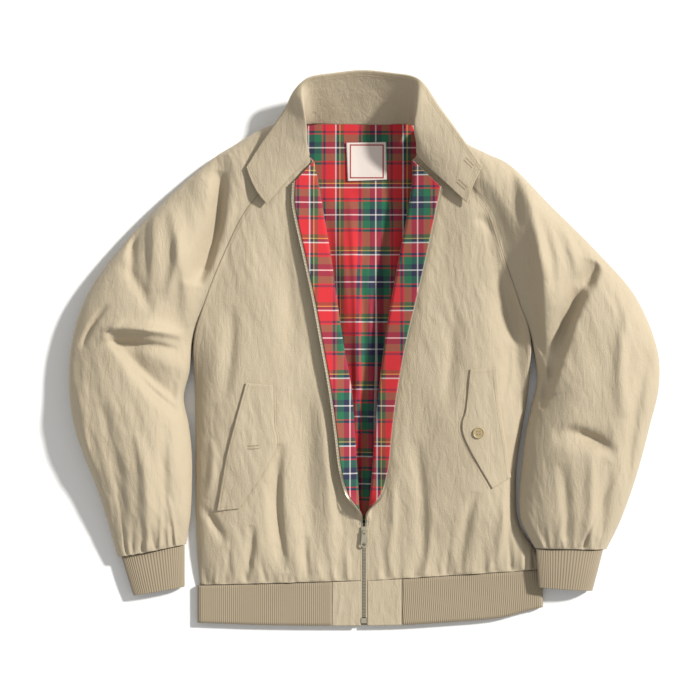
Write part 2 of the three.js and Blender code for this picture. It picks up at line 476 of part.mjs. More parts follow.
// A sleeve's section: over the top from its inner edge to its outer one, then under, back to the inner edge.
function sleeveRow(row, folds) {
  const inward = new THREE.Vector3(row.inX, row.inY, mix(row.inner, (row.inner + row.lift) / 2, row.tube));
  const outward = new THREE.Vector3(row.outX, row.outY, row.mid);
  const under = new THREE.Vector3(row.backX, row.backY, mix(0, (row.inner + row.lift) / 2 - seamGap, row.tube));
  const crown = 0.42;
  const points = steps(sleeveTopColumns).map((t) => {
    const across = (1 - Math.cos(Math.PI * t)) / 2;
    const p = inward.clone().lerp(outward, across);
    const rise = clamp01(across / crown);
    const fall = clamp01((across - crown) / (1 - crown));
    const full = mix(smooth(rise), Math.sqrt(1 - (1 - rise) ** 2), row.tube);
    p.z = across < crown ? mix(inward.z, row.top, full) : mix(outward.z, row.top, Math.sqrt(1 - fall ** 2.4));
    const hold = smooth(across / 0.1) * smooth((1 - across) / 0.1);
    p.z += hold * foldLift(folds, p.x, p.y);
    return p;
  });
  for (const t of steps(sleeveUnderColumns).slice(1)) {
    const across = t ** 1.6;
    const p = outward.clone().lerp(under, across);
    const turned = Math.sqrt(1 - (1 - clamp01(across / 0.14)) ** 2);
    const rest = row.lift * smooth((across - 0.35) / 0.45);
    p.z = mix(outward.z, rest, turned);
    if (row.tube > 0 && t === 1) p.z = Math.max(rest, under.z);
    points.push(p);
  }
  return points;
}

const sleeveRightGrid = rowsOf(sleeveRight).map((row) => sleeveRow(row, sleeveRightFolds));
const sleeveLeftGrid = rowsOf(sleeveLeft).map((row) => sleeveRow(row, sleeveLeftFolds));
add("sleeve_right", wall(sleeveRightGrid, -shellThick), shellCloth);
add("sleeve_left", wall(sleeveLeftGrid, shellThick), shellCloth);

// Cuffs are flattened tubes.
function cuffGrid(table) {
  return table.map((row) =>
    Array.from({ length: ringPoints }, (_, j) => {
      const angle = (2 * Math.PI * j) / ringPoints;
      const across = (1 - Math.cos(angle)) / 2;
      const side = Math.sin(angle);
      const edge = mix((row.top + row.lift) / 2, row.mid, across);
      const flat = side > 0 ? row.top : mix(row.lift, 0, across);
      const z = mix(edge, flat, Math.abs(side) ** 0.5);
      return new THREE.Vector3(mix(row.inX, row.outX, across), mix(row.inY, row.outY, across), z);
    }),
  );
}
add("cuff_right", wall(cuffGrid(cuffRight), -ribThick, true), ribCloth);
add("cuff_left", wall(cuffGrid(cuffLeft), ribThick, true), ribCloth);

// The hem rib runs from one placket end round the back to the other.
const hemAt = (x) => {
  const i = Math.min(Math.max(hemLine.findIndex((row) => row.x > x), 1), hemLine.length - 1);
  const t = clamp01((x - hemLine[i - 1].x) / (hemLine[i].x - hemLine[i - 1].x));
  return rowAt(hemLine, i - 1 + t);
};
const ends = [-1, -0.5, 0, 0.5, 1].map((t) => (t * Math.PI) / 2);
const hemSection = [
  ...steps(hemColumns).map((t) => [mix(hem.blockRight, hem.left + hem.mid, t), hem.top]),
  ...ends.slice(1, -1).map((a) => [hem.left + hem.mid * (1 - Math.cos(a)), hem.mid - hem.mid * Math.sin(a)]),
  ...steps(hemColumns * 2).map((t) => [mix(hem.left + hem.mid, hem.right - hem.mid, t), 0]),
  ...ends.slice(1, -1).map((a) => [hem.right - hem.mid * (1 - Math.cos(a)), hem.mid + hem.mid * Math.sin(a)]),
  ...steps(hemColumns).map((t) => [mix(hem.right - hem.mid, hem.blockLeft, t), hem.top]),
];
const hemGrid = steps(2).map((t) =>
  hemSection.map(([x, z]) => new THREE.Vector3(x, mix(hemAt(x).seam - seamGap, hemAt(x).edge, t), z)),
);
add("hem_rib", wall(hemGrid, -ribThick), ribCloth);

// Plackets: the fronts' own cloth carried down beside the zip, across the rib.
function placketGrid(blockX, edgeX) {
  return steps(3).map((t) =>
    steps(2).map((u) => {
      const x = mix(blockX, edgeX, u);
      return new THREE.Vector3(x, mix(hemAt(x).seam - seamGap, hemAt(x).edge, t), hem.top + 0.3 * (1 - t));
    }),
  );
}
const frontEdge = chainTo + 0.2;
const placketThick = 2;
add("placket_right", wall(placketGrid(hem.blockRight + seamGap, -frontEdge), placketThick), shellCloth);
add("placket_left", wall(placketGrid(frontEdge, hem.blockLeft - seamGap), placketThick), shellCloth);

// Collar
const collarGrid = rowsOf(collarLine).map((row) => {
  const [seam, roll, edge] = ["seam", "roll", "edge"].map(
    (name) => new THREE.Vector3(row[`${name}X`], row[`${name}Y`], row[`${name}Z`]),
  );
  const guide = roll.clone().multiplyScalar(2).addScaledVector(seam, -0.5).addScaledVector(edge, -0.5);
  return new THREE.QuadraticBezierCurve3(seam, guide, edge).getPoints(3);
});
add("collar", wall(collarGrid, collarThick), shellCloth);

// The back's lining and the neck label on it
const liningGrid = rowsOf(liningLine).map((row) =>
  steps(liningColumns).map((t) => {
    const x = mix(row.rightX, row.leftX, t);
    const hold = smooth(t / 0.12) * smooth((1 - t) / 0.12);
    return new THREE.Vector3(x, row.y, row.height + hold * foldLift(liningFolds, x, row.y));
  }),
);
add("back_lining", wall(liningGrid, liningThick), liningCloth);
add("label", patchOn(liningGrid, labelOutline, seamGap, labelThick), labelCloth);

// Pocket flaps, sewn down along the edge nearer the middle
add("pocket_flap_right", patchOn(frontRightGrid, flapRight, seamGap, flapThick), shellCloth);
add("pocket_flap_left", patchOn(frontLeftGrid, flapLeft, seamGap, flapThick), shellCloth);

// A dished button with four holes, seated on the cloth at a place in plan.
function buttonGeometry(b) {
  const profile = [
    [0, 0],
    [b.radius - 0.6, 0],
    [b.radius, 0.8],
    [b.radius, b.thick - 0.8],
    [b.radius - b.rim / 2, b.thick],
    [b.radius - b.rim * 1.5, b.thick - b.dish],
    [0, b.thick - b.dish],
  ].map(([x, y]) => new THREE.Vector2(x, y));
  let solid = solidOf(new THREE.LatheGeometry(profile, 32).rotateX(Math.PI / 2));
  for (const [x, y] of [[1, 1], [-1, 1], [-1, -1], [1, -1]]) {
    const hole = new THREE.CylinderGeometry(b.holeRadius, b.holeRadius, b.thick * 3, 10).rotateX(Math.PI / 2);
    solid = solid.subtract(solidOf(hole.translate(x * b.holeOut, y * b.holeOut, 0)));
  }
  return geometryOf(solid);
}

function seatOn(grid, x, y, up) {
  const [here, east, north] = [[0, 0], [4, 0], [0, 4]].map(
    ([dx, dy]) => new THREE.Vector3(x + dx, y + dy, heightOn(grid, x + dx, y + dy)),
  );
  const normal = east.sub(here).cross(north.sub(here)).normalize();
  const turn = new THREE.Quaternion().setFromUnitVectors(new THREE.Vector3(0, 0, 1), normal);
  const at = here.addScaledVector(normal, up);
  return new THREE.Matrix4().compose(at, turn, new THREE.Vector3(1, 1, 1));
}
const onFlap = seamGap + flapThick + seamGap;
const buttonSeat = seatOn(frontLeftGrid, ...pocketButtonAt, onFlap);
add("pocket_button_left", buttonGeometry(button).applyMatrix4(buttonSeat), horn);

// Slider: two plates joined by a wedge where the chains part, and a bridge that holds the pull.
function prism(corners, depth) {
  return new THREE.ExtrudeGeometry(outlineShape(corners), { depth, bevelEnabled: false });
}
const chainTop = frontRight.find((row) => row.turn === 0).edge + zipChain.proud;
const chainBottom = chainTop - zipChain.thick;
const plateTop = chainTop + slider.clear + slider.plate;
const plateOutline = [
  [-slider.halfWidth * 0.8, -slider.length / 2],
  [slider.halfWidth * 0.8, -slider.length / 2],
  [slider.halfWidth, 0],
  [slider.halfWidth * 0.9, slider.length / 2],
  [-slider.halfWidth * 0.9, slider.length / 2],
  [-slider.halfWidth, 0],
];
const wedgeOutline = [[-0.6, slider.length / 2], [0, slider.length / 2 - 3], [0.6, slider.length / 2]];
const topPlate = prism(plateOutline, slider.plate).translate(0, 0, plateTop - slider.plate);
const bottomPlate = prism(plateOutline, slider.plate).translate(0, 0, chainBottom - slider.clear - slider.plate);
const wedgeFrom = chainBottom - slider.clear - slider.plate / 2;
const wedge = prism(wedgeOutline, plateTop - slider.plate / 2 - wedgeFrom).translate(0, 0, wedgeFrom);

const archShape = new THREE.Shape();
archShape.moveTo(-bridge.outer, -0.5);
archShape.absarc(0, bridge.leg, bridge.outer, Math.PI, 0, true);
archShape.lineTo(bridge.outer, -0.5).lineTo(bridge.inner, -0.5);
archShape.absarc(0, bridge.leg, bridge.inner, 0, Math.PI, false);
archShape.lineTo(-bridge.inner, -0.5);
const arch = new THREE.ExtrudeGeometry(archShape, { depth: bridge.width, bevelEnabled: false, curveSegments: 12 })
  .translate(0, 0, -bridge.width / 2)
  .rotateX(Math.PI / 2)
  .rotateZ(Math.PI / 2)
  .translate(0, 0, plateTop);
const sliderSolid = [topPlate, bottomPlate, wedge, arch].map(solidOf).reduce((a, b) => a.add(b));
add("slider", geometryOf(sliderSolid).translate(0, slider.y, 0), metal);

// Pull tab, from its bar through the bridge; it lies down the zip.
const pullShape = new THREE.Shape();
pullShape.moveTo(-pull.neckWidth / 2, pull.barHalf).lineTo(pull.neckWidth / 2, pull.barHalf);
pullShape.lineTo(pull.neckWidth / 2, -pull.eyeEnd - 2);
pullShape.absarc(0, -pull.length + pull.width / 2, pull.width / 2, 0, -Math.PI, true);
pullShape.lineTo(-pull.neckWidth / 2, -pull.eyeEnd - 2);
const pullPlate = solidOf(new THREE.ExtrudeGeometry(pullShape, { depth: pull.thick, bevelEnabled: false }));
const eyeLength = pull.eyeEnd - pull.barHalf;
const eye = new THREE.BoxGeometry(pull.eyeWidth, eyeLength, 9).translate(0, -pull.barHalf - eyeLength / 2, 0);
const ringHole = new THREE.CylinderGeometry(pull.hole, pull.hole, 9, 16).rotateX(Math.PI / 2);
ringHole.translate(0, pull.width / 2 - pull.length, 0);
const pullGeometry = geometryOf(pullPlate.subtract(solidOf(eye)).subtract(solidOf(ringHole)));
const pullHeight = plateTop + pull.clear;
add("pull_tab", pullGeometry.translate(0, slider.y, pullHeight), metal);

// The box that closes the zip at its lower end
const boxEnd = new THREE.BoxGeometry(zipBox.width, zipBox.length, zipBox.thick);
const boxY = zipEnd - seamGap - zipBox.length / 2;
add("zip_box", boxEnd.translate(0, boxY, hem.top - 0.5), metal);

export default jacket;
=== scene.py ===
import bpy
import numpy as np
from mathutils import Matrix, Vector
from mathutils.bvhtree import BVHTree


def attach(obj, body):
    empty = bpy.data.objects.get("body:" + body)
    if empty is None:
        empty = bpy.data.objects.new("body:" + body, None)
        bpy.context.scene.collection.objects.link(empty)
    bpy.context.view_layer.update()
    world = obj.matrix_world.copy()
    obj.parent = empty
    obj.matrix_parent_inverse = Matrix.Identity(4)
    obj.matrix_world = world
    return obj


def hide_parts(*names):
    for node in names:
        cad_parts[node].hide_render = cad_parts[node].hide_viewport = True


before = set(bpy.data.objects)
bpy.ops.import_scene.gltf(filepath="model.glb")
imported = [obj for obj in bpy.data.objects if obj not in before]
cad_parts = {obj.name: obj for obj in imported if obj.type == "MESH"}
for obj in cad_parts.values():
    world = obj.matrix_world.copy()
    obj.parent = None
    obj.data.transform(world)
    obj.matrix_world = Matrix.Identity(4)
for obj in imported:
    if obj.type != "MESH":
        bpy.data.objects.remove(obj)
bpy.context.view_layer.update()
toMetres = 0.001


def table(names, rows):
    return {name: np.array([row[k] for row in rows], float) for k, name in enumerate(names.split())}


# The garment's own sections, as in the part: from the neck down, or round the neck for the collar.
frontRight = table("outerX outerY foldX foldY strip turn drop rim crown edge round", [
    (-84, 271, -72, 257, 28, 172, -31, 31, 31, 29, 1.1),
    (-106, 248, -67, 232, 34, 171, -22, 30, 31, 28, 1.1),
    (-134, 217, -62, 203, 39, 170, -8, 30, 32, 27, 1.1),
    (-163, 181, -57, 172, 40, 169, 0, 31, 33, 26, 1.1),
    (-193, 118, -48, 118, 37, 168, 0, 32, 34, 25, 1.1),
    (-213, 67, -41, 67, 33, 168, 0, 30, 34, 24, 1.2),
    (-229, 14, -33, 12, 31, 167, 0, 23, 34, 24, 1.6),
    (-229, -50, -22, -50, 31, 166, 0, 3.3, 34, 23, 2.2),
    (-228, -110, -17, -110, 28, 165, 0, 3.3, 33, 21, 2.2),
    (-228, -160, -14, -160, 25, 162, 0, 3.3, 31, 18, 2.2),
    (-228, -198, -12, -196, 17, 158, 0, 3.3, 28, 15, 2.2),
    (-228, -220, -11, -218, 8, 70, 0, 3.3, 27, 13.5, 2.2),
    (-227, -235, -10.1, -232, 4, 0, 0, 3.3, 26, 12.7, 2.2),
    (-227, -247, -5.8, -244, 1.5, 0, 0, 3.3, 25, 12.5, 2.2),
    (-225, -285, -5.8, -280, 1.5, 0, 0, 3.3, 21, 12, 2.2),
    (-222, -317, -5.8, -311, 1.5, 0, 0, 3.3, 13, 11.5, 2.2),
])
frontLeft = table("outerX outerY foldX foldY strip turn drop rim crown edge round", [
    (76, 273, 69, 258, 41, 172, -39, 31, 31, 29, 1.1),
    (105, 248, 70, 232, 38, 171, -25, 30, 31, 28, 1.1),
    (140, 219, 66, 203, 39, 170, -10, 30, 32, 27, 1.1),
    (168, 186, 61, 172, 40, 169, 0, 31, 33, 26, 1.1),
    (187, 128, 51, 120, 39, 168, 0, 31, 34, 25, 1.1),
    (208, 67, 41, 64, 36, 168, 0, 29, 34, 24, 1.2),
    (225, 12, 32, 8, 32, 167, 0, 22, 34, 24, 1.6),
    (222, -60, 24, -60, 28, 166, 0, 3.3, 33, 23, 2.2),
    (213, -115, 19, -112, 26.5, 165, 0, 3.3, 32, 21, 2.2),
    (207, -160, 16, -160, 25, 162, 0, 3.3, 30, 18, 2.2),
    (206, -196, 13, -196, 17, 158, 0, 3.3, 27, 15, 2.2),
    (207, -218, 11, -218, 8, 70, 0, 3.3, 26, 13.5, 2.2),
    (211, -235, 10.1, -232, 4, 0, 0, 3.3, 24, 12.7, 2.2),
    (217, -247, 5.8, -244, 1.5, 0, 0, 3.3, 22, 12.5, 2.1),
    (236, -277, 5.8, -280, 1.5, 0, 0, 3.3, 17, 12, 2),
    (241, -296, 5.8, -311, 1.5, 0, 0, 3.3, 12.5, 11.5, 2.2),
])
sleeveRight = table("inX inY outX outY backX backY top mid inner lift tube", [
    (-84, 271, -99, 309, -82, 302, 32, 14, 31, 0, 0),
    (-106, 248, -137, 298, -104, 280, 33, 14, 30, 0, 0),
    (-134, 217, -176, 275, -130, 247, 35, 14, 30, 0, 0),
    (-163, 181, -208, 254, -157, 207, 38, 15, 31, 0, 0),
    (-193, 118, -268, 201, -190, 133, 45, 18, 32, 0, 0),
    (-213, 67, -326, 139, -212, 72, 50, 20, 30, 0, 0),
    (-230, 14, -371, 76, -230, 14, 54, 22, 23, 0, 0.4),
    (-235, -28, -392, 12, -235, -28, 56, 23, 20, 0, 1),
    (-243, -64, -396, -44, -243, -64, 56, 23, 20, 0, 1),
    (-236, -102, -391, -94, -236, -102, 55, 23, 20, 0, 1),
    (-232, -142, -378, -138, -232, -142, 52, 22, 20, 0, 1),
    (-232, -182, -361, -180, -232, -182, 47, 20, 19, 0, 1),
    (-234, -222, -347, -224, -234, -222, 40, 17, 17, 0, 1),
    (-240, -262, -332, -279, -240, -262, 25, 11, 11, 0, 1),
])
sleeveLeft = table("inX inY outX outY backX backY top mid inner lift tube", [
    (76, 273, 89, 309, 67, 303, 32, 14, 31, 0, 0),
    (105, 248, 136, 279, 96, 281, 33, 14, 30, 0, 0),
    (140, 219, 166, 264, 130, 250, 36, 15, 30, 0, 0),
    (168, 186, 200, 246, 160, 211, 40, 16, 31, 0, 0),
    (187, 128, 251, 194, 184, 140, 47, 18, 31, 0, 0),
    (208, 67, 311, 134, 207, 72, 53, 20, 29, 0, 0),
    (226, 12, 363, 74, 226, 12, 57, 22, 24, 0, 0.4),
    (233, -38, 392, 7, 233, -38, 60, 24, 24, 1, 1),
    (226, -74, 396, -47, 226, -74, 61, 24, 25, 3, 1),
    (217, -116, 383, -104, 217, -116, 60, 24, 26, 5, 1),
    (212, -160, 369, -158, 212, -160, 57, 23, 26, 7, 1),
    (209, -196, 356, -199, 209, -196, 52, 21, 26, 10, 1),
    (212, -230, 343, -234, 212, -230, 46, 18, 26, 14, 1),
    (230, -266, 327, -268, 230, -266, 34, 12, 25, 17, 1),
])
cuffRight = table("inX inY outX outY top mid lift", [
    (-242, -263.5, -327, -279, 20, 9, 0),
    (-242, -291, -319, -305, 20, 9, 0),
    (-242, -319, -311, -331, 18, 8, 0),
])
cuffLeft = table("inX inY outX outY top mid lift", [
    (231, -266.9, 322, -268.9, 30, 10, 17),
    (233, -294, 315, -297, 30, 9, 16),
    (235, -319, 308, -324, 28, 8, 15),
])
hemLine = table("x seam edge", [
    (-226, -317.6, -368),
    (-134, -315.1, -371),
    (-28, -312.2, -372),
    (51, -308.7, -371),
    (118, -304.4, -367),
    (185, -300.1, -361),
    (242, -296.6, -347),
])
collarLine = table("seamX seamY seamZ rollX rollY rollZ edgeX edgeY edgeZ", [
    (-130, 195, 40.5, -146, 216, 42.5, -157, 244, 43),
    (-101, 228.5, 40, -119, 247, 46, -140, 272, 41),
    (-73, 259.5, 37, -88, 272, 51, -121, 300, 41),
    (-85, 279, 33, -77, 291, 56, -106, 322, 43),
    (-86, 299, 19, -79, 323, 57, -93, 346, 50),
    (-70, 305, 5, -71, 336, 34, -74, 361, 56),
    (-37, 304.5, 3.2, -37, 339, 26, -38, 368, 50),
    (-6, 304.5, 3.2, -3, 340, 24, -1, 372, 47),
    (26, 304.5, 3.2, 32, 339, 26, 37, 368, 50),
    (55, 305, 5, 60, 337, 36, 65, 363, 56),
    (70, 299, 19, 68, 325, 57, 80, 353, 58),
    (78, 280, 33, 68, 295, 56, 100, 324, 55),
    (71, 261, 37, 86, 274, 51, 121, 296, 51),
    (112, 220.5, 40, 124, 243, 45, 143, 266, 46),
    (138, 196, 40, 146, 220, 42.5, 158, 245, 43),
])
liningLine = table("rightX leftX y height", [
    (-78, 65, 303.6, 3),
    (-92, 88, 240, 5),
    (-84, 84, 160, 6),
    (-70, 68, 70, 7),
    (-58, 55, -20, 7),
    (-46, 45, -120, 6),
    (-36, 36, -200, 5),
    (-28, 28, -262, 3),
])
foldColumns = "fromX fromY toX toY bow height left right"
sleeveRightFolds = table(foldColumns, [
    (-340, 22, -244, -86, -6, -19, 30, 7),
    (-338, 28, -244, 20, 3, 6, 12, 8),
    (-190, 262, -224, 86, 8, -12, 10, 16),
])
sleeveLeftFolds = table(foldColumns, [
    (310, 116, 240, -66, -10, -17, 7, 24),
    (214, 236, 240, 10, 8, 17, 26, 11),
    (250, -112, 330, -118, -5, -7, 14, 12),
])
frontRightFolds = table(foldColumns, [
    (-72, -60, -66, -295, -6, -6, 12, 16),
])
frontLeftFolds = table(foldColumns, [
    (186, 170, 208, 10, 4, -8, 12, 24),
])
liningFolds = table(foldColumns, [
    (18, 90, 6, -235, 4, 5, 10, 12),
    (-30, 200, -4, -60, -4, 4, 12, 9),
])

# Creases beside the largest folds, in the same columns
frontRightCreases = table(foldColumns, [
    (-178, 60, -190, -70, 6, -5.1, 7.2, 11.2),
    (-112, -125, -104, -300, -8, -10.4, 5.6, 10.4),
    (-226, -205, -186, -262, 4, -5.6, 5.6, 7.2),
    (-205, -120, -212, -200, 5, 4, 6.4, 6.4),
    (-110, 150, -96, -20, 4, -2.9, 8, 11.2),
    (-60, -60, -42, -290, 3, 4.2, 7.2, 8.8),
    (-150, -235, -160, -312, 3, -5.4, 4, 6.4),
    (-78, -250, -72, -310, -3, -4.8, 4, 5.6),
])
frontLeftCreases = table(foldColumns, [
    (200, 110, 224, -110, 6, -15, 13, 30),
    (150, 180, 205, 110, 10, -7.2, 9.6, 8),
    (118, 60, 108, -90, 4, -3.8, 9.6, 9.6),
    (193, 10, 186, -70, 4, -3.5, 4.8, 6.4),
    (70, -120, 78, -300, 5, -5.1, 6.4, 9.6),
    (150, -190, 132, -300, -5, -5.4, 6.4, 8),
    (190, -175, 176, -296, 4, 4.5, 5.6, 6.4),
    (40, -160, 34, -300, 2, 3.2, 5.6, 6.4),
])
sleeveRightCreases = table(foldColumns, [
    (-284, 212, -284, 76, 3, 8, 18, 5),
    (-350, 10, -248, 0, 4, -9, 4, 10),
    (-206, 232, -214, 110, 4, 7, 12, 8),
    (-192, 240, -226, 88, 10, -14.4, 7.2, 12.8),
    (-262, 196, -238, 30, 8, 8, 11.2, 8),
    (-304, 196, -308, 92, -5, -9.6, 8, 4.8),
    (-248, 160, -262, 66, 4, 5.6, 6.4, 6.4),
    (-352, 28, -242, 18, 4, 8.8, 7.2, 4),
    (-350, 24, -246, -78, -5, 8, 4.8, 6.4),
    (-378, 2, -342, 60, 4, -7.2, 3.2, 4.8),
    (-380, -40, -346, -236, -8, 5.1, 9.6, 8),
    (-352, -70, -322, -240, 6, -4.8, 8, 9.6),
    (-300, -110, -292, -250, 5, 5.4, 9.6, 7.2),
    (-264, -100, -262, -240, -4, -4.8, 6.4, 8),
    (-330, 120, -282, 46, 6, -4.8, 6.4, 8),
])
sleeveLeftCreases = table(foldColumns, [
    (232, 90, 248, -60, 4, 11, 22, 7),
    (206, 246, 214, 150, 3, 7, 16, 7),
    (310, 118, 296, 78, 3, -9.6, 4, 11.2),
    (296, 80, 262, -14, -5, -12.8, 4, 12.8),
    (262, -14, 236, -80, -3, -9.6, 4, 9.6),
    (225, 14, 246, -60, 5, 8, 4.8, 4),
    (266, -104, 334, -138, 5, -8.8, 6.4, 8),
    (352, 60, 344, -90, -8, 5.8, 9.6, 7.2),
    (380, 0, 352, -190, -6, -4.8, 7.2, 9.6),
    (300, -130, 296, -255, 4, 4.8, 8, 7.2),
    (262, -150, 268, -255, 4, -5.4, 6.4, 7.2),
    (330, -150, 316, -250, -3, -4.2, 6.4, 7.2),
    (262, 170, 282, 96, 5, 5.4, 8, 7.2),
    (228, 190, 250, 60, 8, -6.4, 7.2, 9.6),
])
liningCreases = table(foldColumns, [
    (-20, 215, -12, -150, 6, 4.8, 7.2, 4.8),
    (38, 200, 22, -100, -4, -3.8, 6.4, 7.2),
    (4, 130, 8, -240, 4, 4.2, 4.8, 7.2),
    (-52, 190, -36, -60, 4, -3.2, 6.4, 6.4),
])

# Wall thicknesses, the gap at seams, the front edge's rolled radius and its distance from the zip's middle
cloth = {
    "shell": 1.2, "lining": 1.0, "rib": 2.2, "collar": 2.0, "flap": 1.5, "label": 1.0,
    "gap": 0.3, "roll": 2.5, "frontEdge": 4.15,
}


def rowsAt(t, places):
    out = {}
    for name, v in t.items():
        i = np.clip(np.floor(places).astype(int), 0, len(v) - 2)
        s = places - i
        a, b, c, d = v[np.maximum(i - 1, 0)], v[i], v[i + 1], v[np.minimum(i + 2, len(v) - 1)]
        leave, arrive = (c - a) / 2, (d - b) / 2
        out[name] = (
            (2 * s**3 - 3 * s**2 + 1) * b
            + (s**3 - 2 * s**2 + s) * leave
            + (3 * s**2 - 2 * s**3) * c
            + (s**3 - s**2) * arrive
        )
    return out


def mix(a, b, t):
    return a + (b - a) * t


def smooth(t):
    t = np.clip(t, 0, 1)
    return t * t * (3 - 2 * t)


def foldLift(folds, x, y):
    lift = np.zeros_like(x)
    for k in range(len(folds["fromX"])):
        f = {name: v[k] for name, v in folds.items()}
        dx, dy = f["toX"] - f["fromX"], f["toY"] - f["fromY"]
        long = np.hypot(dx, dy)
        along = ((x - f["fromX"]) * dx + (y - f["fromY"]) * dy) / long**2
        inside = np.clip(along, 0, 1)
        side = ((y - f["fromY"]) * dx - (x - f["fromX"]) * dy) / long - 4 * f["bow"] * inside * (1 - inside)
        width = np.where(side > 0, f["left"], f["right"])
        lift += f["height"] * np.sin(np.pi * inside) ** 0.7 * np.exp(-((side / width) ** 2))
    return lift


def softNoise(x, y, size, seed):
    # smooth random heights from -1 to 1, size apart
    values = np.random.default_rng(seed).uniform(-1, 1, (64, 64))
    gx, gy = x / size + 31.7, y / size + 17.3
    ix, iy = np.floor(gx).astype(int), np.floor(gy).astype(int)
    sx, sy = smooth(gx - ix), smooth(gy - iy)
    low = mix(values[ix % 64, iy % 64], values[(ix + 1) % 64, iy % 64], sx)
    high = mix(values[ix % 64, (iy + 1) % 64], values[(ix + 1) % 64, (iy + 1) % 64], sx)
    return mix(low, high, sy)


def gathers(along, away, seed, spacing, height, reach):
    # short uneven pleats that run away from a seam
    rng = np.random.default_rng(seed)
    lift = np.zeros_like(along)
    place = along.min()
    while place < along.max():
        place += spacing * rng.uniform(0.6, 1.5)
        lean = rng.uniform(-0.25, 0.25)
        width = spacing * rng.uniform(0.18, 0.4)
        long = reach * rng.uniform(0.4, 1.5)
        h = height * rng.uniform(0.4, 1.2) * rng.choice([1, 1, -1])
        lift += h * np.exp(-(((along - place - lean * away) / width) ** 2)) * np.exp(-away / long)
    return lift * (1 - np.exp(-away / 4))


def crinkle(x, y, seed, height):
    # fine creases, longest along Y
    turned = x + 0.25 * y + 6 * softNoise(x, y, 60, seed)
    fine = softNoise(turned * 3.2, y * 0.7, 26, seed + 1) * 0.6
    fine = fine + softNoise(turned * 6, y * 1.6, 24, seed + 2) * 0.35
    return height * fine * (0.6 + 0.6 * softNoise(x, y, 90, seed + 3))


def gridNormals(p, closed=False):
    across = np.gradient(p, axis=1)
    if closed:
        across = np.roll(p, -1, axis=1) - np.roll(p, 1, axis=1)
    down = np.gradient(p, axis=0)
    n = np.cross(across, down)
    return n / np.maximum(np.linalg.norm(n, axis=2, keepdims=True), 1e-9)


def sheetPiece(name, near, thick, material, uv=None, closed=False):
    # a wall between a grid of points, in millimetres, and the same grid moved along its normals
    rows, cols = near.shape[:2]
    far = near + gridNormals(near, closed) * thick
    points = np.concatenate([near.reshape(-1, 3), far.reshape(-1, 3)]) * toMetres
    last = cols if closed else cols - 1
    i, j = np.meshgrid(np.arange(rows - 1), np.arange(last), indexing="ij")
    a, b = (i * cols + j).ravel(), (i * cols + (j + 1) % cols).ravel()
    c, d = b + cols, a + cols
    half = rows * cols
    faces = [np.stack([a, b, c, d], 1), np.stack([a, d, c, b], 1) + half]
    e = np.arange(last)
    f = (e + 1) % cols
    base = (rows - 1) * cols
    faces.append(np.stack([e, e + half, f + half, f], 1))
    faces.append(np.stack([base + e, base + f, base + f + half, base + e + half], 1))
    if not closed:
        s = np.arange(rows - 1) * cols
        faces.append(np.stack([s, s + cols, s + cols + half, s + half], 1))
        s = s + cols - 1
        faces.append(np.stack([s, s + half, s + cols + half, s + cols], 1))
    faces = np.concatenate(faces)
    v = points[faces[:, :3]]
    volume = np.einsum("ij,ij->i", v[:, 0], np.cross(v[:, 1], v[:, 2])).sum()
    if volume < 0:
        faces = faces[:, ::-1]
    mesh = bpy.data.meshes.new(name)
    mesh.from_pydata(points.tolist(), [], faces.tolist())
    if uv is not None:
        flat = np.concatenate([uv.reshape(-1, 2)] * 2) * toMetres
        layer = mesh.uv_layers.new(name="UVMap")
        index = np.empty(len(mesh.loops), dtype=np.int32)
        mesh.loops.foreach_get("vertex_index", index)
        layer.data.foreach_set("uv", flat[index].ravel().astype(np.float32))
    mesh.shade_smooth()
    mesh.materials.append(material)
    piece = bpy.data.objects.new(name, mesh)
    bpy.context.scene.collection.objects.link(piece)
    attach(piece, "jacket")
    return piece


def arcLengths(p):
    # how far each point lies along its row and its column, for patterns that follow the cloth
    steps = np.linalg.norm(np.diff(p, axis=1), axis=2)
    u = np.concatenate([np.zeros((p.shape[0], 1)), np.cumsum(steps, 1)], 1)
    middle = p.shape[1] // 2
    v = np.concatenate([[0], np.cumsum(np.linalg.norm(np.diff(p[:, middle], axis=0), axis=1))])
    return np.stack([u - u[:, middle : middle + 1], np.repeat(-v[:, None], p.shape[1], 1)], 2)


def newMaterial(name):
    material = bpy.data.materials.new(name)
    material.use_nodes = True
    nodes = material.node_tree.nodes
    return material, nodes, material.node_tree.links, nodes["Principled BSDF"]


def newGroup(name, inputs, outputs):
    group = bpy.data.node_groups.new(name, "ShaderNodeTree")
    for label, kind, value in inputs:
        socket = group.interface.new_socket(name=label, in_out="INPUT", socket_type=kind)
        if value is not None:
            socket.default_value = value
    for label, kind in outputs:
        group.interface.new_socket(name=label, in_out="OUTPUT", socket_type=kind)
    return group, group.nodes.new("NodeGroupInput"), group.nodes.new("NodeGroupOutput")


def mathNode(nodes, links, operation, a, b=None):
    node = nodes.new("ShaderNodeMath")
    node.operation = operation
    for socket, value in zip(node.inputs, (a, b)):
        if isinstance(value, (int, float)):
            socket.default_value = value
        elif value is not None:
            links.new(value, socket)
    return node.outputs[0]


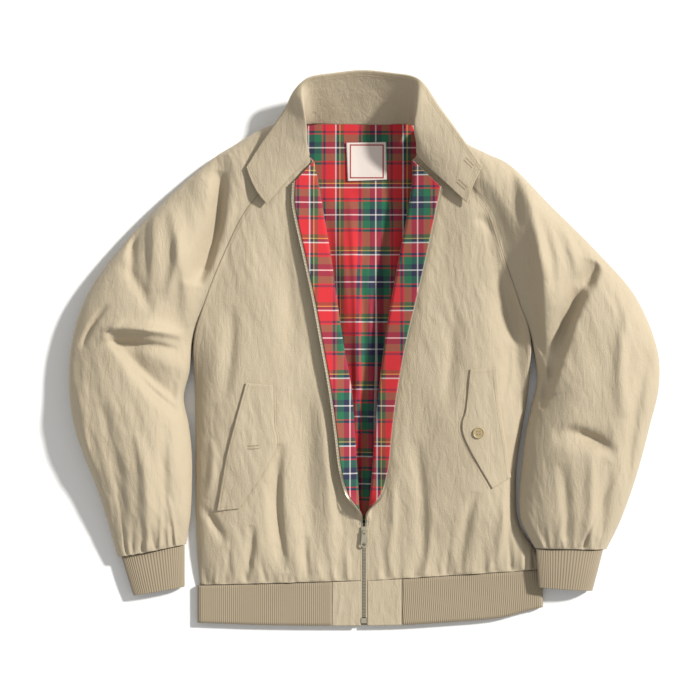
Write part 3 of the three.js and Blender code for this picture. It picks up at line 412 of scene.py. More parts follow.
def makeClothGrain():
    # uneven dye and a fine crinkled relief over any cloth, in metres
    group, given, out = newGroup(
        "clothGrain",
        [
            ("Color", "NodeSocketColor", (0.5, 0.4, 0.3, 1)),
            ("Fine", "NodeSocketFloat", 900.0),
            ("Depth", "NodeSocketFloat", 1.0),
        ],
        [("Color", "NodeSocketColor"), ("Height", "NodeSocketFloat")],
    )
    nodes, links = group.nodes, group.links
    place = nodes.new("ShaderNodeTexCoord")
    stretched = nodes.new("ShaderNodeMapping")
    stretched.inputs["Scale"].default_value = (1.0, 0.3, 1.0)
    stretched.inputs["Rotation"].default_value = (0, 0, 0.15)
    links.new(place.outputs["Object"], stretched.inputs["Vector"])
    patches = nodes.new("ShaderNodeTexNoise")
    patches.inputs["Scale"].default_value = 22
    patches.inputs["Detail"].default_value = 5
    links.new(place.outputs["Object"], patches.inputs["Vector"])
    tint = nodes.new("ShaderNodeMixRGB")
    tint.blend_type = "MULTIPLY"
    tint.inputs["Color2"].default_value = (0.86, 0.84, 0.8, 1)
    links.new(mathNode(nodes, links, "MULTIPLY", patches.outputs["Fac"], 0.55), tint.inputs["Fac"])
    links.new(given.outputs["Color"], tint.inputs["Color1"])
    links.new(tint.outputs["Color"], out.inputs["Color"])
    creases = nodes.new("ShaderNodeTexNoise")
    creases.inputs["Scale"].default_value = 130
    creases.inputs["Detail"].default_value = 6
    creases.inputs["Distortion"].default_value = 0.6
    links.new(stretched.outputs["Vector"], creases.inputs["Vector"])
    weave = nodes.new("ShaderNodeTexNoise")
    links.new(given.outputs["Fine"], weave.inputs["Scale"])
    links.new(place.outputs["Object"], weave.inputs["Vector"])
    threads = mathNode(nodes, links, "MULTIPLY", weave.outputs["Fac"], 0.35)
    both = mathNode(nodes, links, "ADD", creases.outputs["Fac"], threads)
    links.new(mathNode(nodes, links, "MULTIPLY", both, given.outputs["Depth"]), out.inputs["Height"])
    return group


clothGrain = makeClothGrain()


def addGrain(nodes, links, shader, color, fine, depth, distance):
    grain = nodes.new("ShaderNodeGroup")
    grain.node_tree = clothGrain
    if isinstance(color, tuple):
        grain.inputs["Color"].default_value = color
    else:
        links.new(color, grain.inputs["Color"])
    grain.inputs["Fine"].default_value = fine
    grain.inputs["Depth"].default_value = depth
    links.new(grain.outputs["Color"], shader.inputs["Base Color"])
    bump = nodes.new("ShaderNodeBump")
    bump.inputs["Distance"].default_value = distance
    bump.inputs["Strength"].default_value = 0.6
    links.new(grain.outputs["Height"], bump.inputs["Height"])
    links.new(bump.outputs["Normal"], shader.inputs["Normal"])
    return bump


def clothMaterial(name, color, roughness, fine=900.0, distance=0.0012, sheen=0.15):
    material, nodes, links, shader = newMaterial(name)
    shader.inputs["Roughness"].default_value = roughness
    shader.inputs["Sheen Weight"].default_value = sheen
    shader.inputs["Sheen Roughness"].default_value = 0.5
    shader.inputs["Specular IOR Level"].default_value = 0.3
    addGrain(nodes, links, shader, color, fine, 1.0, distance)
    return material


fullTurn = 2 * np.pi


def ribMaterial(name, color, ribs):
    # fine knitted ribs along the piece's own second direction, ribs to a metre
    material, nodes, links, shader = newMaterial(name)
    shader.inputs["Roughness"].default_value = 0.9
    shader.inputs["Sheen Weight"].default_value = 0.25
    bump = addGrain(nodes, links, shader, color, 700.0, 0.3, 0.0009)
    uv = nodes.new("ShaderNodeUVMap")
    uv.uv_map = "UVMap"
    split = nodes.new("ShaderNodeSeparateXYZ")
    links.new(uv.outputs["UV"], split.inputs["Vector"])
    turns = mathNode(nodes, links, "MULTIPLY", split.outputs["X"], ribs * fullTurn)
    wave = mathNode(nodes, links, "SINE", turns)
    ribBump = nodes.new("ShaderNodeBump")
    ribBump.inputs["Distance"].default_value = 0.0006
    ribBump.inputs["Strength"].default_value = 0.5
    links.new(wave, ribBump.inputs["Height"])
    links.new(bump.outputs["Normal"], ribBump.inputs["Normal"])
    links.new(ribBump.outputs["Normal"], shader.inputs["Normal"])
    return material


# A traditional tartan set: colour and width in millimetres, repeated both ways.
tartan = {
    "threads": [
        ("red", 13), ("navy", 3), ("red", 2), ("green", 10),
        ("navy", 7), ("white", 1.8), ("navy", 7),
        ("green", 10), ("red", 2), ("navy", 3), ("red", 13),
        ("white", 1.8), ("navy", 4), ("yellow", 1.2), ("olive", 5), ("red", 7),
    ],
    "red": (0.56, 0.014, 0.022, 1),
    "navy": (0.012, 0.016, 0.05, 1),
    "green": (0.008, 0.13, 0.06, 1),
    "white": (0.75, 0.72, 0.7, 1),
    "yellow": (0.6, 0.4, 0.08, 1),
    "olive": (0.09, 0.06, 0.02, 1),
    "twill": 0.0009,
}


def makeTartanSet():
    # the colour of the threads at a distance across them, in metres
    across = ("Across", "NodeSocketFloat", 0.0)
    group, given, out = newGroup("tartanSet", [across], [("Color", "NodeSocketColor")])
    nodes, links = group.nodes, group.links
    repeat = sum(width for _, width in tartan["threads"])
    repeats = mathNode(nodes, links, "DIVIDE", given.outputs["Across"], repeat * toMetres)
    part = mathNode(nodes, links, "FRACT", repeats)
    ramp = nodes.new("ShaderNodeValToRGB")
    ramp.color_ramp.interpolation = "CONSTANT"
    place = 0
    for k, (color, width) in enumerate(tartan["threads"]):
        stop = ramp.color_ramp.elements[0] if k == 0 else ramp.color_ramp.elements.new(place / repeat)
        stop.position = place / repeat
        stop.color = tartan[color]
        place += width
    ramp.color_ramp.elements.remove(ramp.color_ramp.elements[-1])
    links.new(part, ramp.inputs["Fac"])
    links.new(ramp.outputs["Color"], out.inputs["Color"])
    return group


def tartanMaterial(name, shift):
    material, nodes, links, shader = newMaterial(name)
    shader.inputs["Roughness"].default_value = 0.85
    shader.inputs["Sheen Weight"].default_value = 0.2
    uv = nodes.new("ShaderNodeUVMap")
    uv.uv_map = "UVMap"
    split = nodes.new("ShaderNodeSeparateXYZ")
    links.new(uv.outputs["UV"], split.inputs["Vector"])
    blend = nodes.new("ShaderNodeMixRGB")
    twill = mathNode(nodes, links, "ADD", split.outputs["X"], split.outputs["Y"])
    twill = mathNode(nodes, links, "MULTIPLY", twill, fullTurn / tartan["twill"])
    ridges = mathNode(nodes, links, "MULTIPLY", mathNode(nodes, links, "SINE", twill), 0.12)
    links.new(mathNode(nodes, links, "ADD", ridges, 0.5), blend.inputs["Fac"])
    for axis, socket, offset in (("X", "Color1", shift[0]), ("Y", "Color2", shift[1])):
        threads = nodes.new("ShaderNodeGroup")
        threads.node_tree = tartanSet
        links.new(mathNode(nodes, links, "ADD", split.outputs[axis], offset), threads.inputs["Across"])
        links.new(threads.outputs["Color"], blend.inputs[socket])
    addGrain(nodes, links, shader, blend.outputs["Color"], 1200.0, 0.6, 0.0006)
    return material


def metalMaterial(name, color, roughness):
    material, nodes, links, shader = newMaterial(name)
    shader.inputs["Metallic"].default_value = 1
    noise = nodes.new("ShaderNodeTexNoise")
    noise.inputs["Scale"].default_value = 900
    ramp = nodes.new("ShaderNodeValToRGB")
    ramp.color_ramp.elements[0].color = tuple(c * 0.6 for c in color[:3]) + (1,)
    ramp.color_ramp.elements[1].color = color
    links.new(noise.outputs["Fac"], ramp.inputs["Fac"])
    links.new(ramp.outputs["Color"], shader.inputs["Base Color"])
    spread = mathNode(nodes, links, "MULTIPLY_ADD", noise.outputs["Fac"], 0.25)
    spread.node.inputs[2].default_value = roughness
    links.new(spread, shader.inputs["Roughness"])
    return material


tartanSet = makeTartanSet()
shellCloth = clothMaterial("shellCloth", (0.462, 0.388, 0.272, 1), 0.7, 900.0, 0.0026)
tapeCloth = clothMaterial("tapeCloth", (0.5, 0.42, 0.3, 1), 0.85, 1800.0, 0.0004)


label = {
    "middle": (0.0038, 0.2547), "line": 0.0222, "lineWidth": 0.0018,
    "cream": (0.68, 0.6, 0.55, 1), "red": (0.3, 0.03, 0.03, 1),
}


def labelMaterial(name):
    # cream with a dark red line inside its edge
    material, nodes, links, shader = newMaterial(name)
    shader.inputs["Roughness"].default_value = 0.8
    uv = nodes.new("ShaderNodeUVMap")
    uv.uv_map = "UVMap"
    split = nodes.new("ShaderNodeSeparateXYZ")
    links.new(uv.outputs["UV"], split.inputs["Vector"])
    fromSides = [
        mathNode(nodes, links, "ABSOLUTE", mathNode(nodes, links, "SUBTRACT", split.outputs[axis], middle))
        for axis, middle in (("X", label["middle"][0]), ("Y", label["middle"][1]))
    ]
    out = mathNode(nodes, links, "MAXIMUM", *fromSides)
    line = mathNode(nodes, links, "COMPARE", out, label["line"])
    line.node.inputs[2].default_value = label["lineWidth"] / 2
    color = nodes.new("ShaderNodeMixRGB")
    color.inputs["Color1"].default_value = label["cream"]
    color.inputs["Color2"].default_value = label["red"]
    links.new(line, color.inputs["Fac"])
    addGrain(nodes, links, shader, color.outputs["Color"], 1800.0, 0.6, 0.0005)
    return material


labelCloth = labelMaterial("labelCloth")
threadCloth = clothMaterial("threadCloth", (0.48, 0.39, 0.26, 1), 0.7, 2500.0, 0.0002)
cuffKnit = ribMaterial("cuffKnit", (0.325, 0.262, 0.175, 1), 380.0)
backTartan = tartanMaterial("backTartan", (0.02, 0.035))
facingTartan = tartanMaterial("facingTartan", (0.055, 0.02))
brass = metalMaterial("brass", (0.72, 0.66, 0.5, 1), 0.3)
print("materials made")

# Fronts
front = {"rows": 300, "across": 90, "roll": 12, "strip": 14, "reach": 22, "crinkle": 1.1}


def stripPoints(row, along):
    side = np.sign(row["foldX"] - row["outerX"])
    turn = np.radians(np.maximum(row["turn"], 0))
    bend = np.minimum(along / cloth["roll"], turn)
    straight = along - cloth["roll"] * bend
    past = cloth["roll"] * np.sin(bend) + straight * np.cos(bend)
    up = cloth["roll"] * (1 - np.cos(bend)) + straight * np.sin(bend)
    drop = row["drop"] * np.minimum(1, along / row["strip"])
    return np.stack([row["foldX"] + side * past, row["foldY"] + drop + 0 * past, row["edge"] + up], 2)


def frontGrid(sections, folds, creases, seed):
    count = len(sections["outerX"])
    row = rowsAt(sections, np.linspace(0, count - 1, front["rows"]))
    row = {name: v[:, None] for name, v in row.items()}
    t = np.linspace(0, 1, front["across"])[None, :] ** 1.25
    rise = np.minimum(1, t / 0.3)
    fall = np.clip((t - 0.3) / 0.7, 0, 1)
    side = np.sign(row["foldX"] - row["outerX"])
    bulge = (1 - (1 - rise) ** row["round"]) ** (1 / row["round"])
    x = mix(row["outerX"] + side * 0.6, row["foldX"], t)
    y = mix(row["outerY"], row["foldY"], t)
    z = mix(row["rim"], row["crown"], bulge) + (row["edge"] - row["crown"]) * smooth(fall)
    hold = smooth(t / 0.12) * smooth((1 - t) / 0.12)
    z += hold * (foldLift(folds, x, y) + foldLift(creases, x, y))
    away = np.abs(y - (row["foldY"][-1] + (row["outerY"][-1] - row["foldY"][-1]) * (1 - t)))
    soft = smooth(t / 0.05) * smooth((1 - t) / 0.06)
    z += soft * (gathers(x + 0 * y, away, seed, 12, 4.6, 26) + crinkle(x, y, seed + 5, front["crinkle"]))
    z += soft * 1.9 * softNoise(x, y * 0.5, 34, seed + 9)
    panel = np.stack([x, y, z], 2)
    rolled = cloth["roll"] * np.radians(np.maximum(row["turn"], 0))
    bend = np.clip(rolled, row["strip"] * 0.4, row["strip"] * 0.8)
    roll = stripPoints(row, bend * np.linspace(0, 1, front["roll"] + 1)[None, 1:])
    strip = stripPoints(row, mix(bend, row["strip"], np.linspace(0, 1, front["strip"] + 1)[None, 1:]))
    return np.concatenate([panel, roll, strip], 1)


rightGrid = frontGrid(frontRight, frontRightFolds, frontRightCreases, 11)
leftGrid = frontGrid(frontLeft, frontLeftFolds, frontLeftCreases, 23)[:, ::-1]
fronts = {}
for side, grid in (("right", rightGrid), ("left", leftGrid)):
    piece = sheetPiece(f"shell_front_{side}", grid, cloth["shell"], shellCloth, arcLengths(grid))
    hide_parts(f"front_{side}")
    fronts[side] = piece
    under = grid + gridNormals(grid) * (cloth["shell"] + cloth["gap"])
    keep = front["roll"] + front["strip"] + front["reach"]
    facing = under[:, -keep:] if side == "right" else under[:, :keep]
    lining = sheetPiece(f"lining_front_{side}", facing, cloth["lining"], facingTartan, facing[..., :2])
    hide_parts(f"front_lining_{side}")
print("fronts and facings made")

# Back, flat on the surface: it meets the sleeves down to the armpit, then the fronts
backPanel = {"raglanRows": 7, "seams": 13, "rows": 120, "across": 70, "inset": 0.9, "height": 1.2}


def backEdge(sleeveSide, frontSide, sign):
    last = backPanel["raglanRows"]
    x = np.concatenate([sleeveSide["backX"][:last], frontSide["outerX"][last:]]) + sign * backPanel["inset"]
    y = np.concatenate([sleeveSide["backY"][:last], frontSide["outerY"][last:]])
    row = rowsAt({"x": x, "y": y}, np.linspace(0, backPanel["seams"], backPanel["rows"]))
    return row["x"][:, None], row["y"][:, None]


rx, ry = backEdge(sleeveRight, frontRight, 1)
lx, ly = backEdge(sleeveLeft, frontLeft, -1)
t = np.linspace(0, 1, backPanel["across"])[None, :]
backGrid = np.stack([mix(rx, lx, t), mix(ry, ly, t), backPanel["height"] + 0 * t + 0 * rx], 2)
back = sheetPiece("shell_back", backGrid, cloth["shell"], shellCloth, backGrid[..., :2])
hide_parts("back")

# Sleeves
sleeve = {"rows": 260, "top": 84, "under": 44, "crown": 0.42, "crinkle": 1.5}


def sleeveGrid(sections, folds, creases, seed):
    row = rowsAt(sections, np.linspace(0, len(sections["inX"]) - 1, sleeve["rows"]))
    row = {name: v[:, None] for name, v in row.items()}
    tube = np.clip(row["tube"], 0, 1)
    middle = (row["inner"] + row["lift"]) / 2
    inZ, underZ = mix(row["inner"], middle, tube), mix(0, middle - cloth["gap"], tube)
    t = (1 - np.cos(np.pi * np.linspace(0, 1, sleeve["top"])[None, :])) / 2
    x, y = mix(row["inX"], row["outX"], t), mix(row["inY"], row["outY"], t)
    rise = np.clip(t / sleeve["crown"], 0, 1)
    fall = np.clip((t - sleeve["crown"]) / (1 - sleeve["crown"]), 0, 1)
    full = mix(smooth(rise), np.sqrt(1 - (1 - rise) ** 2), tube)
    outerSide = mix(row["mid"], row["top"], np.sqrt(1 - fall**2.4))
    z = np.where(t < sleeve["crown"], mix(inZ, row["top"], full), outerSide)
    hold = smooth(t / 0.1) * smooth((1 - t) / 0.1)
    lift = foldLift(folds, x, y) + foldLift(creases, x, y)
    away = np.linalg.norm(np.stack([x - x[-1:], y - y[-1:]]), axis=0)
    lift += gathers(t * 95 + 0 * away, away, seed, 9, 4.6, 30)
    lift += crinkle(x, y, seed + 5, sleeve["crinkle"]) + 2.6 * softNoise(x, y * 0.6, 38, seed + 9)
    top = np.stack([x, y, z + hold * lift], 2)
    t = np.linspace(0, 1, sleeve["under"] + 1)[None, 1:] ** 1.6
    x, y = mix(row["outX"], row["backX"], t), mix(row["outY"], row["backY"], t)
    turned = np.sqrt(1 - (1 - np.clip(t / 0.14, 0, 1)) ** 2)
    rest = row["lift"] * smooth((t - 0.35) / 0.45)
    z = mix(row["mid"] + 0 * t, rest, turned)
    closing = smooth((t - 0.9) / 0.1) * tube
    z = mix(z, np.maximum(rest, underZ), closing)
    return np.concatenate([top, np.stack([x, y, z], 2)], 1)


for side, sections, folds, creases, seed, sign in (
    ("right", sleeveRight, sleeveRightFolds, sleeveRightCreases, 41, -1),
    ("left", sleeveLeft, sleeveLeftFolds, sleeveLeftCreases, 57, 1),
):
    grid = sleeveGrid(sections, folds, creases, seed)
    piece = sheetPiece(f"shell_sleeve_{side}", grid, sign * cloth["shell"], shellCloth, arcLengths(grid))
    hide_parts(f"sleeve_{side}")
print("sleeves made")

# Cuffs: flattened tubes of rib knit
cuff = {"rows": 36, "round": 128, "radius": 28}
for side, sections, sign in (("right", cuffRight, -1), ("left", cuffLeft, 1)):
    row = rowsAt(sections, np.linspace(0, 2, cuff["rows"]))
    row = {name: v[:, None] for name, v in row.items()}
    angle = np.linspace(0, fullTurn, cuff["round"], endpoint=False)[None, :]
    t = (1 - np.cos(angle)) / 2
    high = np.sin(angle)
    edge = mix((row["top"] + row["lift"]) / 2, row["mid"], t)
    flat = np.where(high > 0, row["top"] + 0 * t, mix(row["lift"], 0, t))
    z = mix(edge, flat, np.abs(high) ** 0.5)
    grid = np.stack([mix(row["inX"], row["outX"], t), mix(row["inY"], row["outY"], t), z], 2)
    around = np.stack([angle * cuff["radius"] + 0 * z, mix(row["inY"], row["outY"], t)], 2)
    piece = sheetPiece(f"rib_cuff_{side}", grid, sign * cloth["rib"], cuffKnit, around, closed=True)
    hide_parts(f"cuff_{side}")

# Hem rib, from one placket end round the back to the other
hem = {"left": -225, "right": 242, "blockRight": -43, "blockLeft": 51, "top": 11, "mid": 5.5, "rows": 14}
bend = np.linspace(-np.pi / 2, np.pi / 2, 9)[1:-1]
section = np.concatenate(
    [
        [(x, hem["top"]) for x in np.linspace(hem["blockRight"], hem["left"] + hem["mid"], 60)],
        [(hem["left"] + hem["mid"] * (1 - np.cos(a)), hem["mid"] - hem["mid"] * np.sin(a)) for a in bend],
        [(x, 0) for x in np.linspace(hem["left"] + hem["mid"], hem["right"] - hem["mid"], 110)],
        [(hem["right"] - hem["mid"] * (1 - np.cos(a)), hem["mid"] + hem["mid"] * np.sin(a)) for a in bend],
        [(x, hem["top"]) for x in np.linspace(hem["right"] - hem["mid"], hem["blockLeft"], 60)],
    ]
)


def hemAt(x):
    place = np.interp(x, hemLine["x"], np.arange(len(hemLine["x"])))
    row = rowsAt(hemLine, place)
    return row["seam"], row["edge"]


seam, edge = hemAt(section[:, 0])
t = np.linspace(0, 1, hem["rows"])[:, None]
y = mix(seam - cloth["gap"], edge, t)
grid = np.stack([section[None, :, 0] + 0 * y, y, section[None, :, 1] + 0 * y], 2)
uv = arcLengths(grid)
piece = sheetPiece("rib_hem", grid, -cloth["rib"], cuffKnit, uv)
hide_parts("hem_rib")

# Plackets
placket = {"thick": 2.0, "columns": 30, "rows": 40}
for side, (x0, x1) in {
    "right": (hem["blockRight"] + cloth["gap"], -cloth["frontEdge"] - 0.2),
    "left": (cloth["frontEdge"] + 0.2, hem["blockLeft"] - cloth["gap"]),
}.items():
    x = np.linspace(x0, x1, placket["columns"])
    seam, edge = hemAt(x)
    t = np.linspace(0, 1, placket["rows"])[:, None]
    y = mix(seam - cloth["gap"], edge, t)
    z = hem["top"] + 0.3 * (1 - t) + 0.35 * softNoise(x[None, :] + 0 * y, y, 9, 71) * np.sin(np.pi * t)
    grid = np.stack([x[None, :] + 0 * y, y, z], 2)
    piece = sheetPiece(f"shell_placket_{side}", grid, placket["thick"], shellCloth, grid[..., :2])
    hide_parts(f"placket_{side}")
print("ribs and plackets made")

# Collar
collar = {"rows": 220, "across": 40}
row = rowsAt(collarLine, np.linspace(0, len(collarLine["seamX"]) - 1, collar["rows"]))
points = {n: np.stack([row[f"{n}{a}"] for a in "XYZ"], 1)[:, None, :] for n in ("seam", "roll", "edge")}
guide = 2 * points["roll"] - 0.5 * points["seam"] - 0.5 * points["edge"]
t = np.linspace(0, 1, collar["across"])[None, :, None]
collarGrid = (1 - t) ** 2 * points["seam"] + 2 * t * (1 - t) * guide + t**2 * points["edge"]
inside = np.sin(np.pi * t[..., 0])
collarGrid[..., 2] += 0.5 * inside * softNoise(collarGrid[..., 0], collarGrid[..., 1], 14, 91)
collarPiece = sheetPiece("shell_collar", collarGrid, cloth["collar"], shellCloth, arcLengths(collarGrid))
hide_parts("collar")

# Back lining
lining = {"rows": 240, "across": 80, "seamTop": 296, "tuck": 2}
row = rowsAt(liningLine, np.linspace(0, len(liningLine["y"]) - 1, lining["rows"]))
t = np.linspace(0, 1, lining["across"])[None, :]
x = mix(row["rightX"][:, None], row["leftX"][:, None], t)
y = row["y"][:, None] + 0 * x
hold = smooth(t / 0.12) * smooth((1 - t) / 0.12)
lift = foldLift(liningFolds, x, y) + foldLift(liningCreases, x, y) + 0.5 * softNoise(x, y, 22, 95)
z = row["height"][:, None] + hold * lift
y = y + lining["tuck"] * smooth((y - lining["seamTop"]) / 7)  # tucked under the collar seam
liningGrid = np.stack([x, y, z], 2)
sway = np.stack([x + 0.75 * foldLift(liningCreases, x, y), y], 2)
liningPiece = sheetPiece("lining_back", liningGrid, cloth["lining"], backTartan, sway)
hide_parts("back_lining")
print("collar and lining made")


def treeOf(piece):
    mesh = piece.data
    corners = [v.co.copy() for v in mesh.vertices]
    return BVHTree.FromPolygons(corners, [list(p.vertices) for p in mesh.polygons])


def topOf(tree, x, y):
    hit = tree.ray_cast(Vector((x * toMetres, y * toMetres, 0.3)), Vector((0, 0, -1)))
    return hit[0].z / toMetres if hit[0] else 0.0


def patch(name, node, slot, tree, edges, thick, material, rests, rows=60, across=34):
    # a piece between two edges, lying on the cloth below
    row = rowsAt(edges, np.linspace(0, len(edges["freeX"]) - 1, rows))
    t = np.linspace(0, 1, across)[None, :]
    x = mix(row["freeX"][:, None], row["seamX"][:, None], t)
    y = mix(row["freeY"][:, None], row["seamY"][:, None], t)
    z = np.array([[topOf(tree, px, py) for px, py in zip(ax, ay)] for ax, ay in zip(x, y)])
    free = np.minimum(np.minimum(1 - t, 0.5) * 2 + 0 * z, 1)
    z = z + cloth["gap"] + 1.0 * smooth((0.35 - t) / 0.35) * (1 + 0.6 * softNoise(x, y, 25, 33)) * free
    grid = np.stack([x, y, z], 2)
    normals = gridNormals(grid)
    up = 1 if normals[rows // 2, across // 2, 2] > 0 else -1
    piece = sheetPiece(name, grid, up * thick, material, grid[..., :2])
    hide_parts(node)
    return piece


trees = {side: treeOf(piece) for side, piece in fronts.items()}
flapEdges = {
    "right": table("freeX freeY seamX seamY", [
        (-158, -44, -122, -47),
        (-175, -106, -121, -98),
        (-186, -150, -120, -136),
        (-197, -216, -168, -213),
    ]),
    "left": table("freeX freeY seamX seamY", [
        (177, -24, 142, -26),
        (182, -75, 137, -76),
        (190, -125, 133, -114),
        (197, -171, 172, -186),
    ]),
}
flaps = {}
for side, below in fronts.items():
    names = (f"shell_flap_{side}", f"pocket_flap_{side}", "shell")
    flaps[side] = patch(*names, trees[side], flapEdges[side], cloth["flap"], shellCloth, below.name)
labelEdges = table("freeX freeY seamX seamY", [
    (-24, 280, 30, 281),
    (-23, 254, 30.5, 255),
    (-22, 228, 31, 230),
])
below, names = treeOf(liningPiece), ("neck_label", "label", "label")
patch(*names, below, labelEdges, cloth["label"], labelCloth, liningPiece.name, 30, 30)
print("flaps and label made")

# Topstitching: short raised threads along lines on the cloth
stitch = {"long": 2.5, "step": 3.4, "width": 0.55, "high": 0.35, "sunk": 0.25}


def stitches(name, tree, lines, thread=stitch):
    vertices, faces = [], []
    for line in lines:
        line = np.array(line, float)
        lengths = np.concatenate([[0], np.cumsum(np.linalg.norm(np.diff(line, axis=0), axis=1))])
        for s in np.arange(1, lengths[-1] - thread["long"], thread["step"]):
            places = (s, s + thread["long"])
            ends = [np.array([np.interp(at, lengths, line[:, k]) for k in (0, 1)]) for at in places]
            tops = [topOf(tree, *end) for end in ends]
            if min(tops) <= 0 or abs(tops[0] - tops[1]) > 2:
                continue
            way = (ends[1] - ends[0]) / thread["long"]
            out = np.array([-way[1], way[0]]) * thread["width"] / 2
            sunk, high = -thread["sunk"], thread["high"]
            profile = ((-1, sunk), (-0.6, high), (0.6, high), (1, sunk))
            base = len(vertices)
            for end, top in zip(ends, tops):
                vertices += [(*(end + out * side), top + up) for side, up in profile]
            faces += [[base + k, base + k + 1, base + k + 5, base + k + 4] for k in range(3)]
            around = ((0, 4, 7, 3), (3, 2, 1, 0), (4, 5, 6, 7))
            faces += [[base + k for k in face] for face in around]
    mesh = bpy.data.meshes.new(name)
    mesh.from_pydata([tuple(c * toMetres for c in v) for v in vertices], [], faces)
    mesh.materials.append(threadCloth)
    piece = bpy.data.objects.new(name, mesh)
    bpy.context.scene.collection.objects.link(piece)
    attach(piece, "jacket")
    print(f"{name}: {len(faces) // 6} stitches")


def inset(t, near, names, by):
    # a line beside one edge of a table's rows
    row = rowsAt(t, np.linspace(0, len(t[names[0]]) - 1, 60))
    a, b = np.stack([row[n] for n in names], 1), np.stack([row[n] for n in near], 1)
    way = b - a
    return a + way / np.linalg.norm(way, axis=1, keepdims=True) * by


collarTree = treeOf(collarPiece)
collarLines = []
for by in (3, 6):
    collarLines.append(inset(collarLine, ("rollX", "rollY"), ("edgeX", "edgeY"), by))
    for first, last, seam in ((0, 2, 0), (14, 12, 14)):
        a = np.array([collarLine["seamX"][seam], collarLine["seamY"][seam]])
        b = np.array([collarLine["edgeX"][seam], collarLine["edgeY"][seam]])
        inner = np.array([collarLine["seamX"][last], collarLine["seamY"][last]]) - a
        shift = inner / np.linalg.norm(inner) * by
        collarLines.append(np.linspace(a + shift, b + shift, 20))
stitches("collar_stitching", collarTree, collarLines)
flapSeam = 4.5
for side, sections in (("right", frontRight), ("left", frontLeft)):
    lines = [inset(sections, ("foldX", "foldY"), ("outerX", "outerY"), by)[:33] for by in (2.5, 5.5)]
    flap = flapEdges[side]
    lines += [inset(flap, ("freeX", "freeY"), ("seamX", "seamY"), by) for by in (-1.6, -4.4)]
    stitches(f"front_stitching_{side}", trees[side], lines)
    flapLines = [inset(flap, ("seamX", "seamY"), ("freeX", "freeY"), flapSeam)]
    for k, up in ((-1, flapSeam), (0, -flapSeam)):
        free, seam = (np.array([flap[f"{edge}X"][k], flap[f"{edge}Y"][k]]) for edge in ("free", "seam"))
        flapLines.append([mix(free, seam, part) + (0, up) for part in (0.14, 0.9)])
    stitches(f"flap_stitching_{side}", treeOf(flaps[side]), flapLines)

# Buttonholes: two bars of close stitches
buttonhole = {"long": 15, "wide": 3.4, "bars": 22}
barStitch = {"long": 1.5, "step": 9, "width": 0.62, "high": 0.55, "sunk": 0.25}


def buttonholeOn(name, tree, x, y, angle):
    way = np.array([np.cos(angle), np.sin(angle)])
    out = np.array([-way[1], way[0]])
    lines = []
    for k in np.linspace(-0.5, 0.5, buttonhole["bars"]):
        middle = np.array([x, y]) + way * buttonhole["long"] * k
        reach = buttonhole["wide"] / 2 + 1.6
        lines += [[middle + out * sign * 0.25, middle + out * sign * reach] for sign in (-1, 1)]
    stitches(name, tree, lines, barStitch)


buttonholeOn("buttonhole_flap_right", treeOf(flaps["right"]), -148, -130, 0.05)
buttonholeOn("buttonhole_collar_1", collarTree, 131, 221, -0.75)
buttonholeOn("buttonhole_collar_2", collarTree, 140, 250, -0.75)


def finish(node, material):
    # a part that keeps its own solid gets its finish
    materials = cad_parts[node].data.materials
    materials.clear()
    materials.append(material)


for node in ("slider", "pull_tab", "zip_box"):
    finish(node, brass)
for node in ("zip_tape_right", "zip_tape_left"):
    finish(node, tapeCloth)

# Zip teeth, one after another along each chain's solid
tooth = {"step": 2.0, "long": 1.3, "edge": 4.15, "width": 1.9, "thick": 2.0, "footY": -361, "footZ": 11}
toothFaces = ((0, 3, 2, 1), (4, 5, 6, 7), (0, 1, 5, 4), (1, 2, 6, 5), (2, 3, 7, 6), (3, 0, 4, 7))
for side, sections in (("right", frontRight), ("left", frontLeft)):
    count = len(sections["foldX"])
    row = rowsAt(sections, np.linspace(0, count - 1, 900))
    below = {name: np.append(v, v[-1]) for name, v in row.items()}
    below["foldY"][-1] = tooth["footY"]
    below["edge"][-1] = tooth["footZ"]
    below = {name: v[:, None] for name, v in below.items()}
    reaches = (tooth["edge"] - tooth["width"], tooth["edge"])
    near, far = (stripPoints(below, below["strip"] + by)[:, 0] for by in reaches)
    lengths = np.concatenate([[0], np.cumsum(np.linalg.norm(np.diff(far, axis=0), axis=1))])
    vertices, faces = [], []
    offset = 0 if side == "right" else tooth["step"] / 2
    for s in np.arange(3 + offset, lengths[-1] - 2, tooth["step"]):
        ends = [
            [np.array([np.interp(s + d, lengths, line[:, k]) for k in range(3)]) for line in (near, far)]
            for d in (0, tooth["long"])
        ]
        across, along = ends[0][1] - ends[0][0], ends[1][0] - ends[0][0]
        normal = np.cross(across, along)
        normal *= (1 if side == "right" else -1) * tooth["thick"] / 2 / np.linalg.norm(normal)
        middle = normal * 0.5
        base = len(vertices)
        corners = (ends[0][0], ends[0][1], ends[1][1], ends[1][0])
        for layer in (-1, 1):
            vertices += [tuple((p + middle + normal * layer) * toMetres) for p in corners]
        faces += [[base + k for k in face] for face in toothFaces]
    mesh = bpy.data.meshes.new(f"teeth_{side}")
    mesh.from_pydata(vertices, [], faces)
    mesh.materials.append(brass)
    teeth = bpy.data.objects.new(f"teeth_{side}", mesh)
    bpy.context.scene.collection.objects.link(teeth)
    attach(teeth, "jacket")
    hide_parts(f"zip_teeth_{side}")
print("zip made")


def hornMaterial():
    material, nodes, links, shader = newMaterial("horn")
    shader.inputs["Roughness"].default_value = 0.3
    noise = nodes.new("ShaderNodeTexNoise")
    noise.inputs["Scale"].default_value = 160
    noise.inputs["Distortion"].default_value = 2
    ramp = nodes.new("ShaderNodeValToRGB")
    ramp.color_ramp.elements[0].color = (0.16, 0.1, 0.04, 1)
    ramp.color_ramp.elements[1].color = (0.62, 0.5, 0.28, 1)
    links.new(noise.outputs["Fac"], ramp.inputs["Fac"])
    links.new(ramp.outputs["Color"], shader.inputs["Base Color"])
    return material


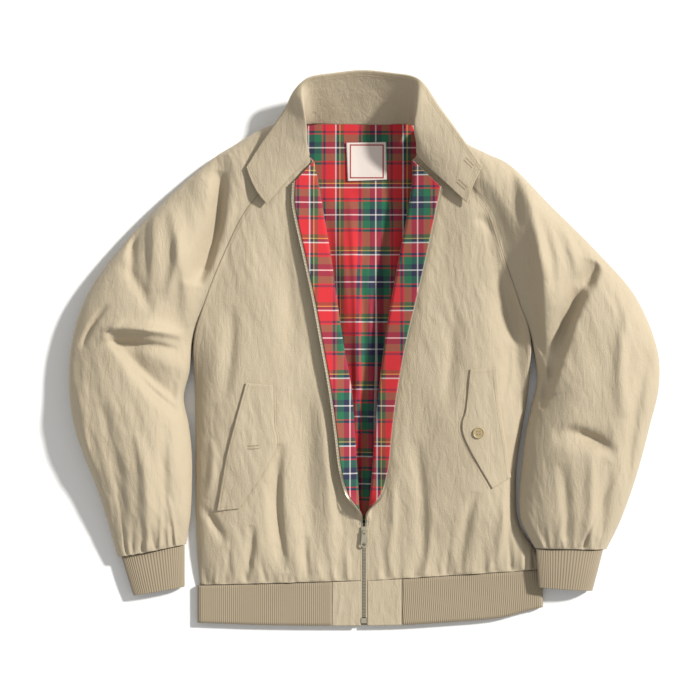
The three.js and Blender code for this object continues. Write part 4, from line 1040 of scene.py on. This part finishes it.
finish("pocket_button_left", hornMaterial())

# Floor, light and camera
studio = {
    "floor": 0.86, "sunAzimuth": 29, "sunHeight": 35, "sunSoft": 5, "sun": 4.5, "fill": 0.53,
    "frameWidth": 0.938, "cameraX": -0.0188, "cameraHeight": 3.0, "subjectHeight": 0.03,
}
floorMesh = bpy.data.meshes.new("floor")
floorMesh.from_pydata([(-4, -4, 0), (4, -4, 0), (4, 4, 0), (-4, 4, 0)], [], [(0, 1, 2, 3)])
floor = bpy.data.objects.new("floor", floorMesh)
bpy.context.scene.collection.objects.link(floor)
floor.location.z = -0.0004
floorMaterial, _, _, floorShader = newMaterial("floorPaper")
floorShader.inputs["Base Color"].default_value = (*[studio["floor"]] * 2, studio["floor"] * 0.985, 1)
floorShader.inputs["Roughness"].default_value = 0.9
floorMesh.materials.append(floorMaterial)

world = bpy.data.worlds.new("studioFill")
bpy.context.scene.world = world
world.use_nodes = True
world.node_tree.nodes["Background"].inputs["Color"].default_value = (1, 1, 1, 1)
world.node_tree.nodes["Background"].inputs["Strength"].default_value = studio["fill"]

sun = bpy.data.lights.new("key", "SUN")
sun.energy = studio["sun"]
sun.angle = np.radians(studio["sunSoft"])
sun.color = (1.0, 0.985, 0.96)
key = bpy.data.objects.new("key", sun)
bpy.context.scene.collection.objects.link(key)
azimuth, height = np.radians(studio["sunAzimuth"]), np.radians(studio["sunHeight"])
toSun = Vector((np.cos(azimuth) * np.cos(height), np.sin(azimuth) * np.cos(height), np.sin(height)))
key.rotation_euler = toSun.to_track_quat("Z", "Y").to_euler()

cameraData = bpy.data.cameras.new("camera")
camera = bpy.data.objects.new("camera", cameraData)
bpy.context.scene.collection.objects.link(camera)
cameraData.sensor_width = 36
reach = studio["cameraHeight"] - studio["subjectHeight"]
cameraData.lens = cameraData.sensor_width * reach / studio["frameWidth"]
camera.location = (studio["cameraX"], 0, studio["cameraHeight"])
bpy.context.scene.camera = camera
bpy.context.scene.view_settings.view_transform = "Standard"
print("studio made")
